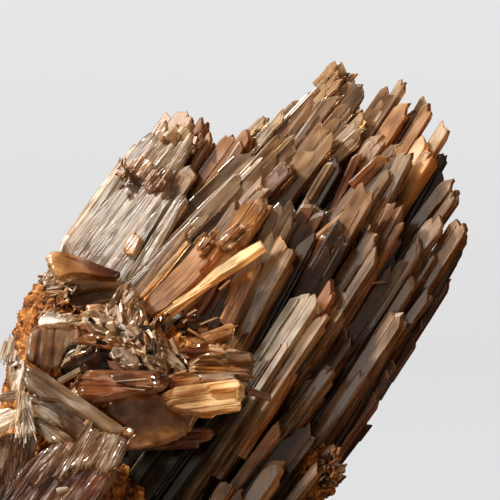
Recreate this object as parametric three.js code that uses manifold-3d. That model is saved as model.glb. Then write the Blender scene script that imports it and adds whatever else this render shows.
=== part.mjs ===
// A hand specimen of brown bladed barite: a sheaf of flat crystals that grew side by side out of a rusty
// limonite matrix and lean up to the right, with a pale block of crystals behind its left shoulder and a
// tangle of short crystals across its foot. The foot is broken off flat, and the specimen stands on it.
// Millimetres and degrees, +Z up, front towards -Y. The origin is the middle of the flat foot.
import * as THREE from "three";
import { mergeVertices } from "three/addons/utils/BufferGeometryUtils.js";
import Module from "manifold-3d";

// ---- Driving dimensions ----
const JOINT_GAP = 0.3; // open seam between two nodes that grew against each other
const BEVEL_DEPTH = 0.14; // of a blade's thickness, planed off each edge of the broad face
const BEVEL_REACH = 0.05; // of its width, how far that plane reaches across the face
const LEAST_BEVELLED = 6; // narrower blades keep square edges
const SEAM_SPREAD = 1.3; // of the gap, how far the seam around a plate is widened to clear its corners
const FOOT_SPAN = 160; // size of the block that breaks the foot off flat

// ---- Ends of a blade, from its left edge to its right: [place across, place back from the tip], in widths ----
const ENDS = {
  flat: [[-0.5, -0.1], [-0.42, 0], [0.36, -0.05], [0.5, -0.18]],
  peak: [[-0.5, -0.6], [-0.02, 0], [0.5, -0.6]],
  round: [[-0.5, -0.45], [-0.28, -0.04], [0.16, -0.02], [0.5, -0.45]],
  slopeRight: [[-0.5, -0.1], [-0.38, 0], [0.5, -0.62]],
  slopeLeft: [[-0.5, -0.62], [0.38, 0], [0.5, -0.1]],
  stepRight: [[-0.5, -0.1], [-0.4, 0], [0.02, -0.08], [0.08, -0.48], [0.5, -0.62]],
  stepLeft: [[-0.5, -0.62], [-0.08, -0.48], [-0.02, -0.08], [0.4, 0], [0.5, -0.1]],
  saw: [[-0.5, -0.26], [-0.36, 0], [-0.1, -0.22], [0.14, -0.1], [0.5, -0.4]],
};

// ---- The blades that shape each group ----
// [x, y, z of the tip, width, thickness, length, lean above level towards +X,
//  turn of the broad face from the front to the upper left, end]
const SHEAF = {
  ridge: [
    [31.4, 5, 109.3, 8.0, 5.0, 66, 46.5, 20, "saw"],
    [33.4, 2.6, 107.2, 3.0, 2.6, 40, 50, 18, "slopeRight"],
    [28.2, 3.6, 111.4, 3.6, 3.0, 18, 47, 18, "slopeRight"],
    [25.2, 7, 106.8, 4.0, 4.0, 60, 46.5, 22, "slopeRight"],
    [21.4, 8, 103.6, 4.6, 4.0, 58, 43, 22, "slopeRight"],
    [15.4, 9, 98.8, 4.6, 4.0, 50, 42, 22, "slopeRight"],
    [8.9, 3, 98.1, 5.2, 3.4, 50, 54, 18, "round"],
  ],
  ridgeFront: [
    [27.0, 0.6, 105.2, 2.6, 2.0, 30, 54, 18, "peak"],
    [24.2, 1.6, 104.6, 2.8, 2.4, 32, 54, 20, "slopeLeft"],
    [30.8, -1, 102.4, 5.0, 3.2, 44, 50, 22, "stepRight"],
    [33.2, -4, 98.2, 2.8, 1.8, 18, 43, 20, "stepRight"],
    [26.4, -5, 98.0, 5.4, 3.6, 36, 52, 16, "round"],
    [19.4, -4.5, 97.0, 6.2, 3.4, 54, 47, 17, "peak"],
    [14.6, -4.8, 94.6, 1.8, 2.4, 50, 46, 16, "flat"],
    [10.9, -4, 92.2, 2.0, 2.2, 46, 45, 26, "flat"],
    [8.6, -5.4, 88.6, 3.2, 2.6, 44, 46, 26, "slopeRight"],
    [18.4, -7.6, 90.9, 3.4, 3.8, 42, 47, 24, "flat"],
    [14.0, -9, 86.8, 4.6, 3.6, 40, 48, 24, "stepRight"],
  ],
  middle: [
    [28.4, -6, 92.0, 2.6, 3.0, 30, 60, 20, "slopeRight"],
    [36.6, -4, 97.0, 3.8, 3.4, 40, 55, 24, "flat"],
    [36.8, -8, 93.0, 2.0, 1.8, 20, 44, 20, "flat"],
    [40.4, -6.5, 94.8, 3.4, 2.4, 34, 48, 22, "stepRight"],
    [41.6, -8.4, 93.4, 2.8, 2.6, 48, 63, 20, "round"],
    [39.6, -9.4, 84.0, 4.6, 2.8, 40, 62, 16, "slopeLeft"],
    [36.0, -14, 76.7, 5.4, 3.6, 48, 57, 24, "stepRight"],
    [33.9, -14.4, 86.2, 4.0, 3.8, 40, 60, 26, "saw"],
    [28.4, -10.4, 79.6, 5.6, 3.0, 40, 60, 6, "round"],
  ],
  rightShoulder: [
    [38.6, 2, 106.0, 3.4, 3.4, 54, 55, 22, "round"],
    [41.2, 1, 108.1, 1.8, 2.2, 50, 57, 20, "round"],
    [42.0, 0, 103.6, 3.2, 2.8, 50, 56, 22, "slopeRight"],
    [43.6, 2.4, 102.2, 2.0, 3.2, 50, 56, 15, "peak"],
    [45.7, 3.4, 104.7, 1.9, 1.6, 30, 60, 10, "round"],
    [46.6, 0, 103.1, 2.4, 2.4, 40, 58, 20, "slopeRight"],
    [49.9, -1, 99.2, 2.4, 2.8, 46, 58, 20, "round"],
    [46.9, -2.4, 95.8, 5.2, 3.4, 56, 57, 26, "slopeRight"],
    [49.2, 3.4, 93.2, 2.0, 4.0, 40, 60, 5, "saw"],
    [49.4, 2.4, 89.6, 2.6, 4.0, 44, 61, 5, "stepRight"],
    [50.6, -3.4, 87.8, 2.6, 2.6, 42, 53, 24, "flat"],
    [51.8, -4.2, 85.7, 2.0, 2.8, 42, 55, 24, "stepRight"],
    [48.4, -7, 80.5, 3.6, 2.6, 50, 53, 24, "slopeLeft"],
    [52.9, -4.6, 79.0, 3.8, 4.4, 66, 57.5, 24, "flat"],
    [52.8, -2, 75.6, 2.4, 4.0, 24, 60.5, 10, "round"],
  ],
  rightFlank: [
    [49.9, -1, 68.2, 2.4, 3.4, 28, 58, 10, "stepRight"],
    [45.5, -2, 61.4, 2.8, 4.0, 34, 57, 8, "stepRight"],
    [43.8, 0, 59.0, 2.6, 4.4, 44, 56, 8, "stepRight"],
    [40.0, -12, 61.4, 4.0, 3.2, 46, 57, 24, "round"],
    [39.3, -3, 51.3, 2.0, 3.4, 46, 54, 5, "stepRight"],
    [38.0, -5, 49.4, 1.8, 3.0, 40, 54, 5, "flat"],
    [35.1, -6, 45.0, 2.8, 3.6, 36, 54, 10, "flat"],
    [33.1, -13, 50.0, 2.0, 2.2, 40, 56, 24, "flat"],
    [30.2, -12, 57.2, 3.6, 3.4, 40, 55, 20, "round"],
    [26.4, -16, 50.8, 2.8, 2.8, 40, 53, 24, "round"],
    [28.2, -16, 62.4, 2.6, 2.8, 46, 55, 26, "round"],
    [22.4, -18, 65.8, 5.4, 3.2, 50, 57, 26, "slopeLeft"],
    [26.9, -16.6, 67.0, 3.2, 3.2, 44, 58, 24, "slopeRight"],
  ],
  frontPlates: [
    [18.4, -14, 83.6, 5.2, 3.0, 50, 62, 10, "peak"],
    [12.6, -15, 84.6, 4.8, 2.8, 36, 56, 14, "slopeLeft"],
    [23.2, -11.6, 82.9, 5.2, 3.0, 46, 60, 8, "round"],
    [18.0, -18, 75.6, 4.4, 3.0, 60, 62, 16, "slopeRight"],
    [22.4, -16, 77.2, 2.6, 2.8, 44, 62, 22, "slopeLeft"],
    [25.2, -15, 76.4, 1.9, 2.6, 40, 64, 18, "flat"],
    [11.4, -17, 73.6, 5.8, 3.0, 50, 62, 12, "peak"],
    [16.2, -20, 52.2, 2.4, 1.8, 20, 60, 18, "flat"],
    [18.4, -20, 50.3, 2.2, 2.2, 20, 58, 18, "slopeRight"],
    [15.8, -19, 39.0, 2.2, 2.0, 28, 53, 12, "round"],
    [21.6, -17, 38.4, 5.4, 3.2, 30, 53, 14, "stepLeft"],
    [16.4, -21, 32.6, 3.2, 2.8, 28, 54, 24, "peak"],
    [6.0, -23, 28.2, 2.6, 2.6, 22, 54, 20, "round"],
    [3.6, -18, 33.6, 3.8, 3.0, 34, 52, 12, "flat"],
    [8.0, -22.6, 47.0, 5.0, 3.0, 36, 54, 16, "flat"],
    [1.5, -23.6, 44.0, 5.0, 3.6, 32, 54, 16, "flat"],
    [-4.5, -24.4, 42.0, 5.0, 4.4, 28, 54, 16, "flat"],
  ],
  honeySpray: [
    [7.6, -20, 76.6, 4.0, 3.2, 26, 50, 15, "round"],
  ],
};

const PALE_BLADES = [
  [-5.0, 6, 101.0, 3.2, 4.6, 44, 56, 26, "slopeLeft"],
  [-1.9, 5, 101.8, 4.2, 4.6, 46, 58, 26, "round"],
  [1.0, 4.4, 99.8, 2.0, 4.6, 46, 60, 22, "flat"],
  [2.7, 3.4, 97.4, 1.6, 4.2, 44, 61, 20, "flat"],
  [-2.0, 1, 90.6, 4.2, 3.6, 36, 58, 26, "round"],
  [-2.8, -2, 83.4, 1.5, 2.2, 20, 59, 22, "flat"],
  [-6.6, 11, 92.0, 7.0, 5.0, 42, 55, -20, "stepLeft"],
];

// Short crystals across the foot, pointing right.
const FRONT_BLADES = [
  [10.4, -33, 51.9, 3.4, 3.6, 22, -3, 28, "stepRight"],
  [8.6, -36.2, 46.9, 4.6, 4.6, 19, 4, 22, "round"],
  [7.4, -35.6, 49.3, 1.6, 2.4, 22, 1, 25, "flat"],
  [8.0, -34.8, 44.4, 2.2, 2.8, 26, 7, 20, "slopeRight"],
];

// ---- Plates: crystals broken to odd outlines ----
// [outline as [x, z], y of its middle, rise of y towards +x, rise of y towards +z, thickness behind]
const SPRAY_PLATES = [
  [[[-6, 62], [3, 70.4], [12, 76], [12.7, 74.7], [5.5, 69.8], [-5.8, 61.6]], -26, -0.2, 0.5, 5.6],
  [[[-11, 63], [-7, 68.1], [0, 76], [2, 76.5], [3.7, 75], [0.3, 70], [-6.5, 62.6], [-9.5, 61]], -24, -0.3, 0.25, 3.6],
  [[[4, 60], [6.3, 68.2], [11.5, 73.7], [12.1, 71], [6.2, 58.2]], -20.5, -0.2, 0.3, 2.6],
  [[[-7, 62], [2, 67.2], [6, 69.2], [4.2, 61], [2, 57.2], [-4, 59.8]], -19, -0.1, 0.2, 2.4],
  [[[-1.6, 56.6], [6.3, 59.8], [7, 59.2], [6.5, 57.5], [-0.6, 55.2]], -26, 0, 0.5, 5],
  [[[2.8, 75.2], [8.4, 79.4], [9.6, 78.2], [5, 73.8]], -22, -0.3, 0.4, 2.4],
];

const PALE_PLATES = [
  [
    [[-28.4, 73.4], [-21, 85.2], [-13, 95.2], [-10.4, 96.8], [-8.4, 97.2], [-5, 84], [-14, 67], [-20, 66.6], [-26, 69]],
    3, -0.38, 0.27, 5,
  ],
  [[[-11.4, 94], [-8.8, 98.8], [-6.8, 99], [-6, 97], [-9.6, 90.4]], 4.6, -0.3, 0.3, 3],
  [[[-15, 67.6], [-6.2, 82.2], [-4, 85.6], [-2.4, 84.6], [-9.6, 71.6], [-12, 67.4]], -3, -0.3, 0.25, 2.4],
  [[[-17.4, 70], [-7.2, 88.6], [-5.4, 88.4], [-15.4, 69]], -0.4, -0.34, 0.25, 2.4],
];

const FRONT_PLATES = [
  [[[-28, 50], [-27, 57], [-17, 60], [-9, 60], [-4, 54], [3, 52.6], [3, 44], [-1, 38.6], [-13, 37.6]], -31.2, 0, 0, 3.4],
  [
    [[-34.2, 55.5], [-32, 58.3], [-26.5, 59.3], [-23.4, 57.6], [-24.2, 54.6], [-30, 50.4], [-34.8, 53.5]],
    -31.5, 0.1, 0.25, 3,
  ],
  [[[-27.5, 50.5], [-25, 54.2], [-19.5, 55.2], [-18.6, 53.3], [-21, 50]], -31.8, 0, -0.2, 2],
  [[[-18.7, 53], [-17.5, 55.2], [-12.4, 54], [-10.7, 52], [-13, 49.8], [-17.8, 51.4]], -34.6, 0.1, 0.3, 3.6],
  [
    [[-18.6, 60.5], [-16, 65], [-14, 67.6], [-12.4, 66], [-10, 60], [-11.5, 58], [-16.5, 58.4]],
    -27.5, -0.25, 0.35, 4,
  ],
  [
    [[-22.9, 48.5], [-21.5, 50.4], [-8.4, 49.9], [-5, 47.6], [-7.5, 46.6], [-21.5, 45.3], [-23.7, 47.2]],
    -36.4, 0, 0.25, 5.4,
  ],
  [[[-4.5, 54.4], [1.5, 55], [4, 53.7], [-3, 52], [-5.5, 52.6]], -31, 0, 0.3, 2.6],
  [[[-6.4, 49.2], [-1, 51.6], [3, 53.5], [4, 50.4], [-4, 49.6]], -34, 0, 0.2, 3.2],
  [
    [[-14.5, 36.5], [-15, 41.5], [-9, 43.9], [-0.8, 41.6], [3.1, 37.6], [-4, 36], [-12.6, 34.8]],
    -31.4, 0.05, 0.15, 3.4,
  ],
  [[[-13, 40.6], [-5, 42.3], [-1.2, 40], [-9, 38.6]], -33.2, 0.05, 0.3, 2.4],
];

const LOWER_LEFT_PLATES = [
  [
    [[-40.5, 24], [-33, 32.6], [-27.4, 36.8], [-24.4, 37.4], [-17.5, 30.6], [-15.4, 31.6], [-20, 24], [-26, 12], [-38, 12]],
    -39, -0.15, 0.2, 6,
  ],
  [
    [[-28, 30.2], [-24.4, 37.8], [-20, 39.6], [-13.7, 37.4], [-15.2, 32.1], [-17.6, 30.5], [-24, 32.6], [-26.4, 29.4]],
    -41.6, -0.1, 0.25, 4,
  ],
  [[[-34, 48.4], [-32.5, 51.5], [-28.5, 49.8], [-24.5, 45.4], [-27.2, 45.5], [-33, 47.6]], -38, 0.1, 0.5, 2.4],
  [[[-33.8, 47.9], [-26.8, 45.9], [-26.3, 44.4], [-31, 43.8], [-33.4, 45.3]], -37.4, 0.1, 0.1, 2],
  [[[-26.9, 44.9], [-22.5, 44.4], [-14.5, 39.9], [-15.5, 38.2], [-21.8, 40.9], [-27, 43.9]], -38.6, 0.1, 0.5, 2.4],
  [[[-30.8, 43.9], [-24.5, 43], [-20.3, 40.5], [-24, 38.6], [-29.2, 42]], -37.2, 0.1, 0, 2],
  [[[-32.6, 42.2], [-32, 44.2], [-27, 41.4], [-26.3, 40.3], [-31, 41]], -38.8, 0.1, 0.4, 1.6],
  [[[-32.2, 41.4], [-26.2, 39.6], [-24, 37.9], [-27.5, 36.2], [-32, 40]], -38.2, 0.1, 0.2, 1.8],
  [[[-36.6, 40], [-33.6, 46.6], [-32.4, 46.2], [-31.5, 41], [-32.6, 37.2], [-36.7, 37.8]], -39.4, 0.05, 0.3, 2],
  [
    [[-41.4, 25], [-41.2, 34], [-36.4, 39], [-31.2, 39], [-31, 36], [-34.6, 30.4], [-39.4, 22]],
    -37.6, 0.1, 0.15, 3.4,
  ],
  [[[-41.6, 38.4], [-41.4, 40.8], [-34.7, 43.5], [-36.3, 39.8], [-38, 38.4]], -38.4, 0.1, 0.5, 1.6],
];

const WEDGE_PLATES = [
  [
    [[-30.4, 72.2], [-29.3, 73.5], [-24, 72.6], [-15.5, 69.3], [-16.5, 68.2], [-25, 69], [-27.8, 68.2]],
    -20, 0.1, 0.35, 2.4,
  ],
];

// ---- Where the sheaf's blades have grown into one mass: [front y, back y, outline of [x, z]] ----
const SHEAF_MASS = [
  [-21.5, -6, [[-9, 57], [-10, 64.5], [-4.5, 72.5], [2, 74], [8, 70], [8, 64], [7, 58], [-2, 55]]],
  [-17.2, -6, [[-2, 30], [2, 44], [10, 56], [22, 62], [31, 58], [26, 46], [18, 34], [12, 22], [2, 20]]],
  [-22.4, -10, [[-12, 26], [-6, 42], [2, 50], [8, 48], [13, 40], [12, 24], [2, 18], [-8, 20]]],
  [-9, 17, [[-20, 8], [-25, 40], [-14, 62], [2, 74], [16, 80], [30, 80], [40, 74], [40, 62], [32, 46], [22, 30], [14, 8]]],
  [4, 16, [[-10, 60], [2, 84], [12, 90], [24, 98], [33, 98], [39, 92], [43, 84], [45, 70], [36, 60]]],
];

// ---- Blades of the sheaf's back, tipX, y, tipZ and so on as above; they turn the other way ----
const SHEAF_BACK = [
  [3.5, 14, 92.0, 8.0, 5.0, 40, 52, -18, "stepLeft"],
  [10.0, 18, 90.5, 7.0, 5.0, 44, 50, -22, "peak"],
  [14.6, 15, 96.4, 6.0, 5.0, 44, 47, -18, "slopeRight"],
  [20.0, 19, 95.0, 7.4, 5.0, 48, 48, -20, "stepRight"],
  [26.0, 15, 104.6, 8.0, 6.0, 50, 48, -16, "peak"],
  [29.6, 20, 98.0, 6.4, 5.0, 50, 50, -22, "slopeLeft"],
  [34.4, 14, 102.8, 7.0, 5.0, 50, 52, -16, "saw"],
  [36.8, 19, 93.0, 7.0, 5.0, 50, 54, -20, "stepRight"],
  [41.0, 13, 97.6, 6.0, 5.0, 50, 56, -16, "slopeRight"],
  [43.6, 17, 87.4, 6.6, 5.0, 50, 57, -18, "peak"],
  [46.6, 11, 89.8, 6.0, 5.0, 50, 58, -14, "stepLeft"],
  [46.4, 15, 76.6, 7.0, 5.0, 50, 57, -18, "slopeLeft"],
  [43.2, 14, 64.6, 7.0, 5.0, 46, 56, -16, "stepRight"],
  [34.6, 12, 50.0, 7.0, 5.0, 38, 54, -16, "slopeRight"],
  [30.6, 15, 70.0, 8.0, 6.0, 48, 55, -24, "stepRight"],
  [9.4, 20, 76.0, 9.0, 6.0, 46, 50, -24, "slopeRight"],
  [32.0, 18, 56.6, 8.0, 6.0, 40, 54, -24, "slopeLeft"],
  [18.0, 21, 60.6, 9.0, 6.0, 40, 52, -26, "stepRight"],
];

// ---- Limonite: rounded lumps, [x, y, z of the middle, half sizes along x, y, z, fineness] ----
const MATRIX_LUMPS = [
  [-14, -7, 8, 34, 31, 17.5, 2],
  [8, -3, 6, 20, 25, 14, 2],
  [-29.2, -14, 42.5, 8.6, 20, 25.5, 2],
  [-20, -20, 48, 13, 10, 14, 1],
  [-23, 4, 38, 18, 19, 30, 1],
  [-3, -18, 50, 8, 9, 11.5, 1],
  [23.2, -8, 30.6, 5.2, 9, 6.4, 1],
  [16, -5, 20, 9.5, 9, 9.5, 1],
  [-27, -22, 17, 19, 16, 21, 1],
];
const LUMP_ROUGHNESS = 0.09;

const BARITE_BROWN = { color: 0x8a6248, roughness: 0.28, metalness: 0 };
const BARITE_PALE = { color: 0xb3a394, roughness: 0.3, metalness: 0 };
const BARITE_HONEY = { color: 0xa9743e, roughness: 0.26, metalness: 0 };
const LIMONITE = { color: 0x8f5524, roughness: 0.9, metalness: 0 };

const wasm = await Module();
wasm.setup();

const radians = THREE.MathUtils.degToRad;

// A repeatable run of numbers from 0 to 1.
function chances(seed) {
  let state = seed >>> 0;
  return () => {
    state = (Math.imul(state, 1664525) + 1013904223) >>> 0;
    return state / 4294967296;
  };
}

function solidOf(geometry) {
  geometry.deleteAttribute("normal");
  geometry.deleteAttribute("uv");
  const merged = mergeVertices(geometry, 1e-4);
  return new wasm.Manifold(
    new wasm.Mesh({
      numProp: 3,
      vertProperties: merged.attributes.position.array,
      triVerts: new Uint32Array(merged.index.array),
    }),
  );
}

function geometryOf(solid) {
  const made = solid.getMesh();
  const geometry = new THREE.BufferGeometry();
  geometry.setAttribute("position", new THREE.BufferAttribute(made.vertProperties, 3));
  geometry.setIndex(new THREE.BufferAttribute(made.triVerts, 1));
  geometry.computeVertexNormals();
  return geometry;
}

// Turns a blade's own axes (across, along, out of the broad face) to where it grows.
function bladePlace(x, y, z, lean, turn) {
  const along = new THREE.Vector3(Math.cos(radians(lean)), 0, Math.sin(radians(lean)));
  const upperLeft = new THREE.Vector3(-Math.sin(radians(lean)), 0, Math.cos(radians(lean)));
  const face = new THREE.Vector3(0, -Math.cos(radians(turn)), 0);
  face.addScaledVector(upperLeft, Math.sin(radians(turn)));
  const across = new THREE.Vector3().crossVectors(along, face);
  return new THREE.Matrix4().makeBasis(across, along, face).setPosition(x, y, z);
}

// A flat crystal: its outline in the broad face, given a thickness, with its long edges planed off.
// grow makes it that much larger all round, to cut the seam in a neighbour.
function blade([x, y, z, width, thickness, length, lean, turn, end], grow = 0) {
  const wide = width + 2 * grow;
  const thick = thickness + 2 * grow;
  const outline = ENDS[end].map(([across, back]) => new THREE.Vector2(across * wide, back * width + grow));
  outline.push(new THREE.Vector2(wide / 2, -length), new THREE.Vector2(-wide / 2, -length));
  const bevel = grow === 0 && width >= LEAST_BEVELLED ? thickness * BEVEL_DEPTH : 0;
  const geometry = new THREE.ExtrudeGeometry(new THREE.Shape(outline.reverse()), {
    depth: thick - 2 * bevel,
    bevelEnabled: bevel > 0,
    bevelThickness: bevel,
    bevelSize: width * BEVEL_REACH,
    bevelOffset: -width * BEVEL_REACH,
    bevelSegments: 1,
  });
  geometry.translate(0, 0, bevel - thick / 2);
  geometry.applyMatrix4(bladePlace(x, y, z, lean, turn));
  return solidOf(geometry);
}

function mass([front, back, outline]) {
  const shape = new THREE.Shape(outline.map(([x, z]) => new THREE.Vector2(x, z)));
  const geometry = new THREE.ExtrudeGeometry(shape, { depth: back - front, bevelEnabled: false });
  geometry.rotateX(Math.PI / 2);
  geometry.translate(0, back, 0);
  return solidOf(geometry);
}

// A plate: its outline stands in a plane that leans, with the thickness behind it.
function plate([outline, y, riseX, riseZ, thickness], grow = 0) {
  const middleX = outline.reduce((sum, [x]) => sum + x, 0) / outline.length;
  const middleZ = outline.reduce((sum, [, z]) => sum + z, 0) / outline.length;
  const shape = new THREE.Shape(outline.map(([x, z]) => new THREE.Vector2(x - middleX, z - middleZ)).reverse());
  const geometry = new THREE.ExtrudeGeometry(shape, {
    depth: thickness,
    bevelEnabled: grow > 0,
    bevelThickness: grow,
    bevelSize: grow,
    bevelSegments: 1,
  });
  geometry.translate(0, 0, -thickness);
  const right = new THREE.Vector3(1, riseX, 0);
  const up = new THREE.Vector3(0, riseZ, 1);
  const out = new THREE.Vector3().crossVectors(right, up).normalize();
  geometry.applyMatrix4(new THREE.Matrix4().makeBasis(right, up, out).setPosition(middleX, y, middleZ));
  return solidOf(geometry);
}

// A lump of limonite: a ball pressed to its half sizes, with its surface pushed in and out.
function lump([x, y, z, halfX, halfY, halfZ, fineness], index, grow) {
  const geometry = new THREE.IcosahedronGeometry(1, fineness);
  geometry.deleteAttribute("normal");
  geometry.deleteAttribute("uv");
  const ball = mergeVertices(geometry, 1e-4);
  const next = chances(31 + index);
  const place = ball.attributes.position;
  for (let i = 0; i < place.count; i++) {
    const bump = 1 + LUMP_ROUGHNESS * (2 * next() - 1);
    place.setXYZ(i, place.getX(i) * bump, place.getY(i) * bump, place.getZ(i) * bump);
  }
  ball.scale(halfX + grow, halfY + grow, halfZ + grow);
  ball.translate(x, y, z);
  return solidOf(ball);
}

const join = (solids) => wasm.Manifold.union(solids);
const cluster = (blades, plates, grow = 0) =>
  join([...blades.map((row) => blade(row, grow)), ...plates.map((row) => plate(row, grow * SEAM_SPREAD))]);

// What lies below the flat foot.
const ground = solidOf(new THREE.BoxGeometry(FOOT_SPAN, FOOT_SPAN, FOOT_SPAN).translate(0, 0, -FOOT_SPAN / 2));

// Cuts a solid off at the foot and clear of its neighbours, and keeps its main body without stray chips.
function trimmed(solid, neighbours = []) {
  let left = solid.subtract(ground);
  for (const neighbour of neighbours) left = left.subtract(neighbour);
  return left.decompose().reduce((most, body) => (body.volume() > most.volume() ? body : most));
}

function node(name, solid, finish) {
  const mesh = new THREE.Mesh(geometryOf(solid), new THREE.MeshStandardMaterial({ ...finish, flatShading: true }));
  mesh.name = name;
  return mesh;
}

// ---- The nodes: each is cut clear of the ones before it ----
const matrix = trimmed(join(MATRIX_LUMPS.map((row, index) => lump(row, index, 0))));
const matrixSeam = join(MATRIX_LUMPS.map((row, index) => lump(row, index, JOINT_GAP)));
const sheafRows = [...Object.values(SHEAF).flat(), ...SHEAF_BACK];
const sheafHeart = SHEAF_MASS.map(mass);
const sheaf = join([cluster(sheafRows, SPRAY_PLATES), ...sheafHeart]);
const sheafSeam = join([cluster(sheafRows, SPRAY_PLATES, JOINT_GAP), ...sheafHeart]);
const paleSeam = cluster(PALE_BLADES, PALE_PLATES, JOINT_GAP);
const frontSeam = cluster(FRONT_BLADES, FRONT_PLATES, JOINT_GAP);
const lowerSeam = cluster([], LOWER_LEFT_PLATES, JOINT_GAP);

const specimen = new THREE.Group();
specimen.add(
  node("limonite_matrix", matrix, LIMONITE),
  node("crystal_sheaf", trimmed(sheaf, [matrixSeam]), BARITE_BROWN),
  node("pale_crystal_block", trimmed(cluster(PALE_BLADES, PALE_PLATES), [matrixSeam, sheafSeam]), BARITE_PALE),
  node(
    "front_crystal_cluster",
    trimmed(cluster(FRONT_BLADES, FRONT_PLATES), [matrixSeam, sheafSeam, paleSeam]),
    BARITE_HONEY,
  ),
  node(
    "lower_left_crystal_cluster",
    trimmed(cluster([], LOWER_LEFT_PLATES), [matrixSeam, sheafSeam, paleSeam, frontSeam]),
    BARITE_PALE,
  ),
  node(
    "wedge_crystal",
    trimmed(cluster([], WEDGE_PLATES), [matrixSeam, sheafSeam, paleSeam, frontSeam, lowerSeam]),
    BARITE_BROWN,
  ),
);

export default specimen;
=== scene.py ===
import math
import random

import bpy
import bmesh
from mathutils import Matrix, Vector, noise


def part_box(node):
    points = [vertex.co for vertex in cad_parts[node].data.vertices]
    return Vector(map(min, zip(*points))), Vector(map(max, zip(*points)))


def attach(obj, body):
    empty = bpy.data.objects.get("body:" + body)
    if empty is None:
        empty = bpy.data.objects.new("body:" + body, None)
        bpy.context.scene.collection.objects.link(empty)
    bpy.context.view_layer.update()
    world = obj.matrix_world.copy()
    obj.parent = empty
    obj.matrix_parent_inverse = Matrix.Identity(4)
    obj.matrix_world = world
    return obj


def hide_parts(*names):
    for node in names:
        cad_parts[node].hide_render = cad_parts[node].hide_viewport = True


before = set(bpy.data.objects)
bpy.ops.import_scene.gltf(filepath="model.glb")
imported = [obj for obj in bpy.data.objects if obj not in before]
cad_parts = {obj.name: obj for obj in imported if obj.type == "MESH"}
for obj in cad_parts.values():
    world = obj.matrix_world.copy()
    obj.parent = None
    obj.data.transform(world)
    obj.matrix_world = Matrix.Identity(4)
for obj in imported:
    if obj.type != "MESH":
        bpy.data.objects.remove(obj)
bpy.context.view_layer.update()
scene = bpy.context.scene

# ---- The view ----
# A long lens, level with the middle of the crystals, so the specimen fills the frame from its lower left
# corner and its foot lies just below the lower edge.
FRAME_WIDTH = 0.100
VIEW_MIDDLE = (0.010, 0.074)
NEAR_FACE = -0.010
view_lens = bpy.data.cameras.new("view")
view_lens.lens = 300.0
view_lens.sensor_width = 36.0
view_lens.clip_start = 0.05
view = bpy.data.objects.new("view", view_lens)
scene.collection.objects.link(view)
view_distance = FRAME_WIDTH * view_lens.lens / view_lens.sensor_width
view.location = (VIEW_MIDDLE[0], NEAR_FACE - view_distance, VIEW_MIDDLE[1])
view.rotation_euler = (math.radians(90), 0, 0)
scene.camera = view
scene.view_settings.view_transform = "Standard"

# ---- The studio ----
# A wide round sweep of matt pale board, flat under the specimen and curving up far behind it on every side.
# One hard lamp from the upper left front, and a large soft panel beside it that the broad faces reflect.
SWEEP_PROFILE = [(0.6, 0.0), (2.2, 0.0), (2.6, 0.06), (2.95, 0.25), (3.2, 0.6), (3.3, 1.2), (3.3, 2.6)]
SWEEP_STEPS = 96
BOARD_COLOUR = (0.34, 0.26, 0.19, 1)
BOARD_SHADOW_COLOUR = (0.035, 0.035, 0.035, 1)
BOARD_GLOW = [(0.0, (0.724, 0.724, 0.727)), (0.30, (0.790, 0.790, 0.792))]
ROOM_BRIGHT_WAY = Vector((-0.62, -0.50, 0.60)).normalized()
ROOM_GLOW = [(0.0, (0.014, 0.008, 0.004)), (0.55, (0.034, 0.024, 0.015)), (1.0, (0.45, 0.41, 0.36))]
sweep_mesh = bmesh.new()
sweep_rings = []
for radius, height in SWEEP_PROFILE:
    ring = []
    for step in range(SWEEP_STEPS):
        angle = 2 * math.pi * step / SWEEP_STEPS
        ring.append(sweep_mesh.verts.new((radius * math.cos(angle), radius * math.sin(angle), height)))
    sweep_rings.append(ring)
sweep_mesh.faces.new(sweep_rings[0])
for inner, outer in zip(sweep_rings, sweep_rings[1:]):
    for step in range(SWEEP_STEPS):
        after = (step + 1) % SWEEP_STEPS
        sweep_mesh.faces.new((inner[step], outer[step], outer[after], inner[after]))
bmesh.ops.recalc_face_normals(sweep_mesh, faces=sweep_mesh.faces)
sweep_data = bpy.data.meshes.new("sweep")
sweep_mesh.to_mesh(sweep_data)
sweep_mesh.free()
sweep_data.shade_smooth()
sweep = bpy.data.objects.new("sweep", sweep_data)
scene.collection.objects.link(sweep)
sweep.visible_glossy = False


def ramp_node(tree, value, stops):
    """Colours that follow a value; each stop is a value and its colour."""
    ramp = tree.nodes.new("ShaderNodeValToRGB")
    bar = ramp.color_ramp
    bar.elements[0].position, bar.elements[0].color = stops[0][0], (*stops[0][1], 1)
    bar.elements[1].position, bar.elements[1].color = stops[-1][0], (*stops[-1][1], 1)
    for place, colour in stops[1:-1]:
        bar.elements.new(place).color = (*colour, 1)
    tree.links.new(value, ramp.inputs[0])
    return ramp.outputs[0]


# the board is lit as board, and glows evenly where it is seen, so that it stays pale behind the specimen
board = bpy.data.materials.new("matt_board")
board.use_nodes = True
nodes, links = board.node_tree.nodes, board.node_tree.links
nodes.clear()
board_out = nodes.new("ShaderNodeOutputMaterial")
board_mix = nodes.new("ShaderNodeMixShader")
board_add = nodes.new("ShaderNodeAddShader")
board_plain = nodes.new("ShaderNodeBsdfDiffuse")
board_plain.inputs["Color"].default_value = BOARD_COLOUR
board_seen = nodes.new("ShaderNodeBsdfDiffuse")
board_seen.inputs["Color"].default_value = BOARD_SHADOW_COLOUR
board_glow = nodes.new("ShaderNodeEmission")
board_way = nodes.new("ShaderNodeTexCoord")
board_high = nodes.new("ShaderNodeSeparateXYZ")
links.new(board_way.outputs["Object"], board_high.inputs[0])
links.new(ramp_node(board.node_tree, board_high.outputs["Z"], BOARD_GLOW), board_glow.inputs["Color"])
board_rays = nodes.new("ShaderNodeLightPath")
board_through = nodes.new("ShaderNodeMath")
board_through.operation = "MAXIMUM"
links.new(board_rays.outputs["Is Camera Ray"], board_through.inputs[0])
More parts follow.
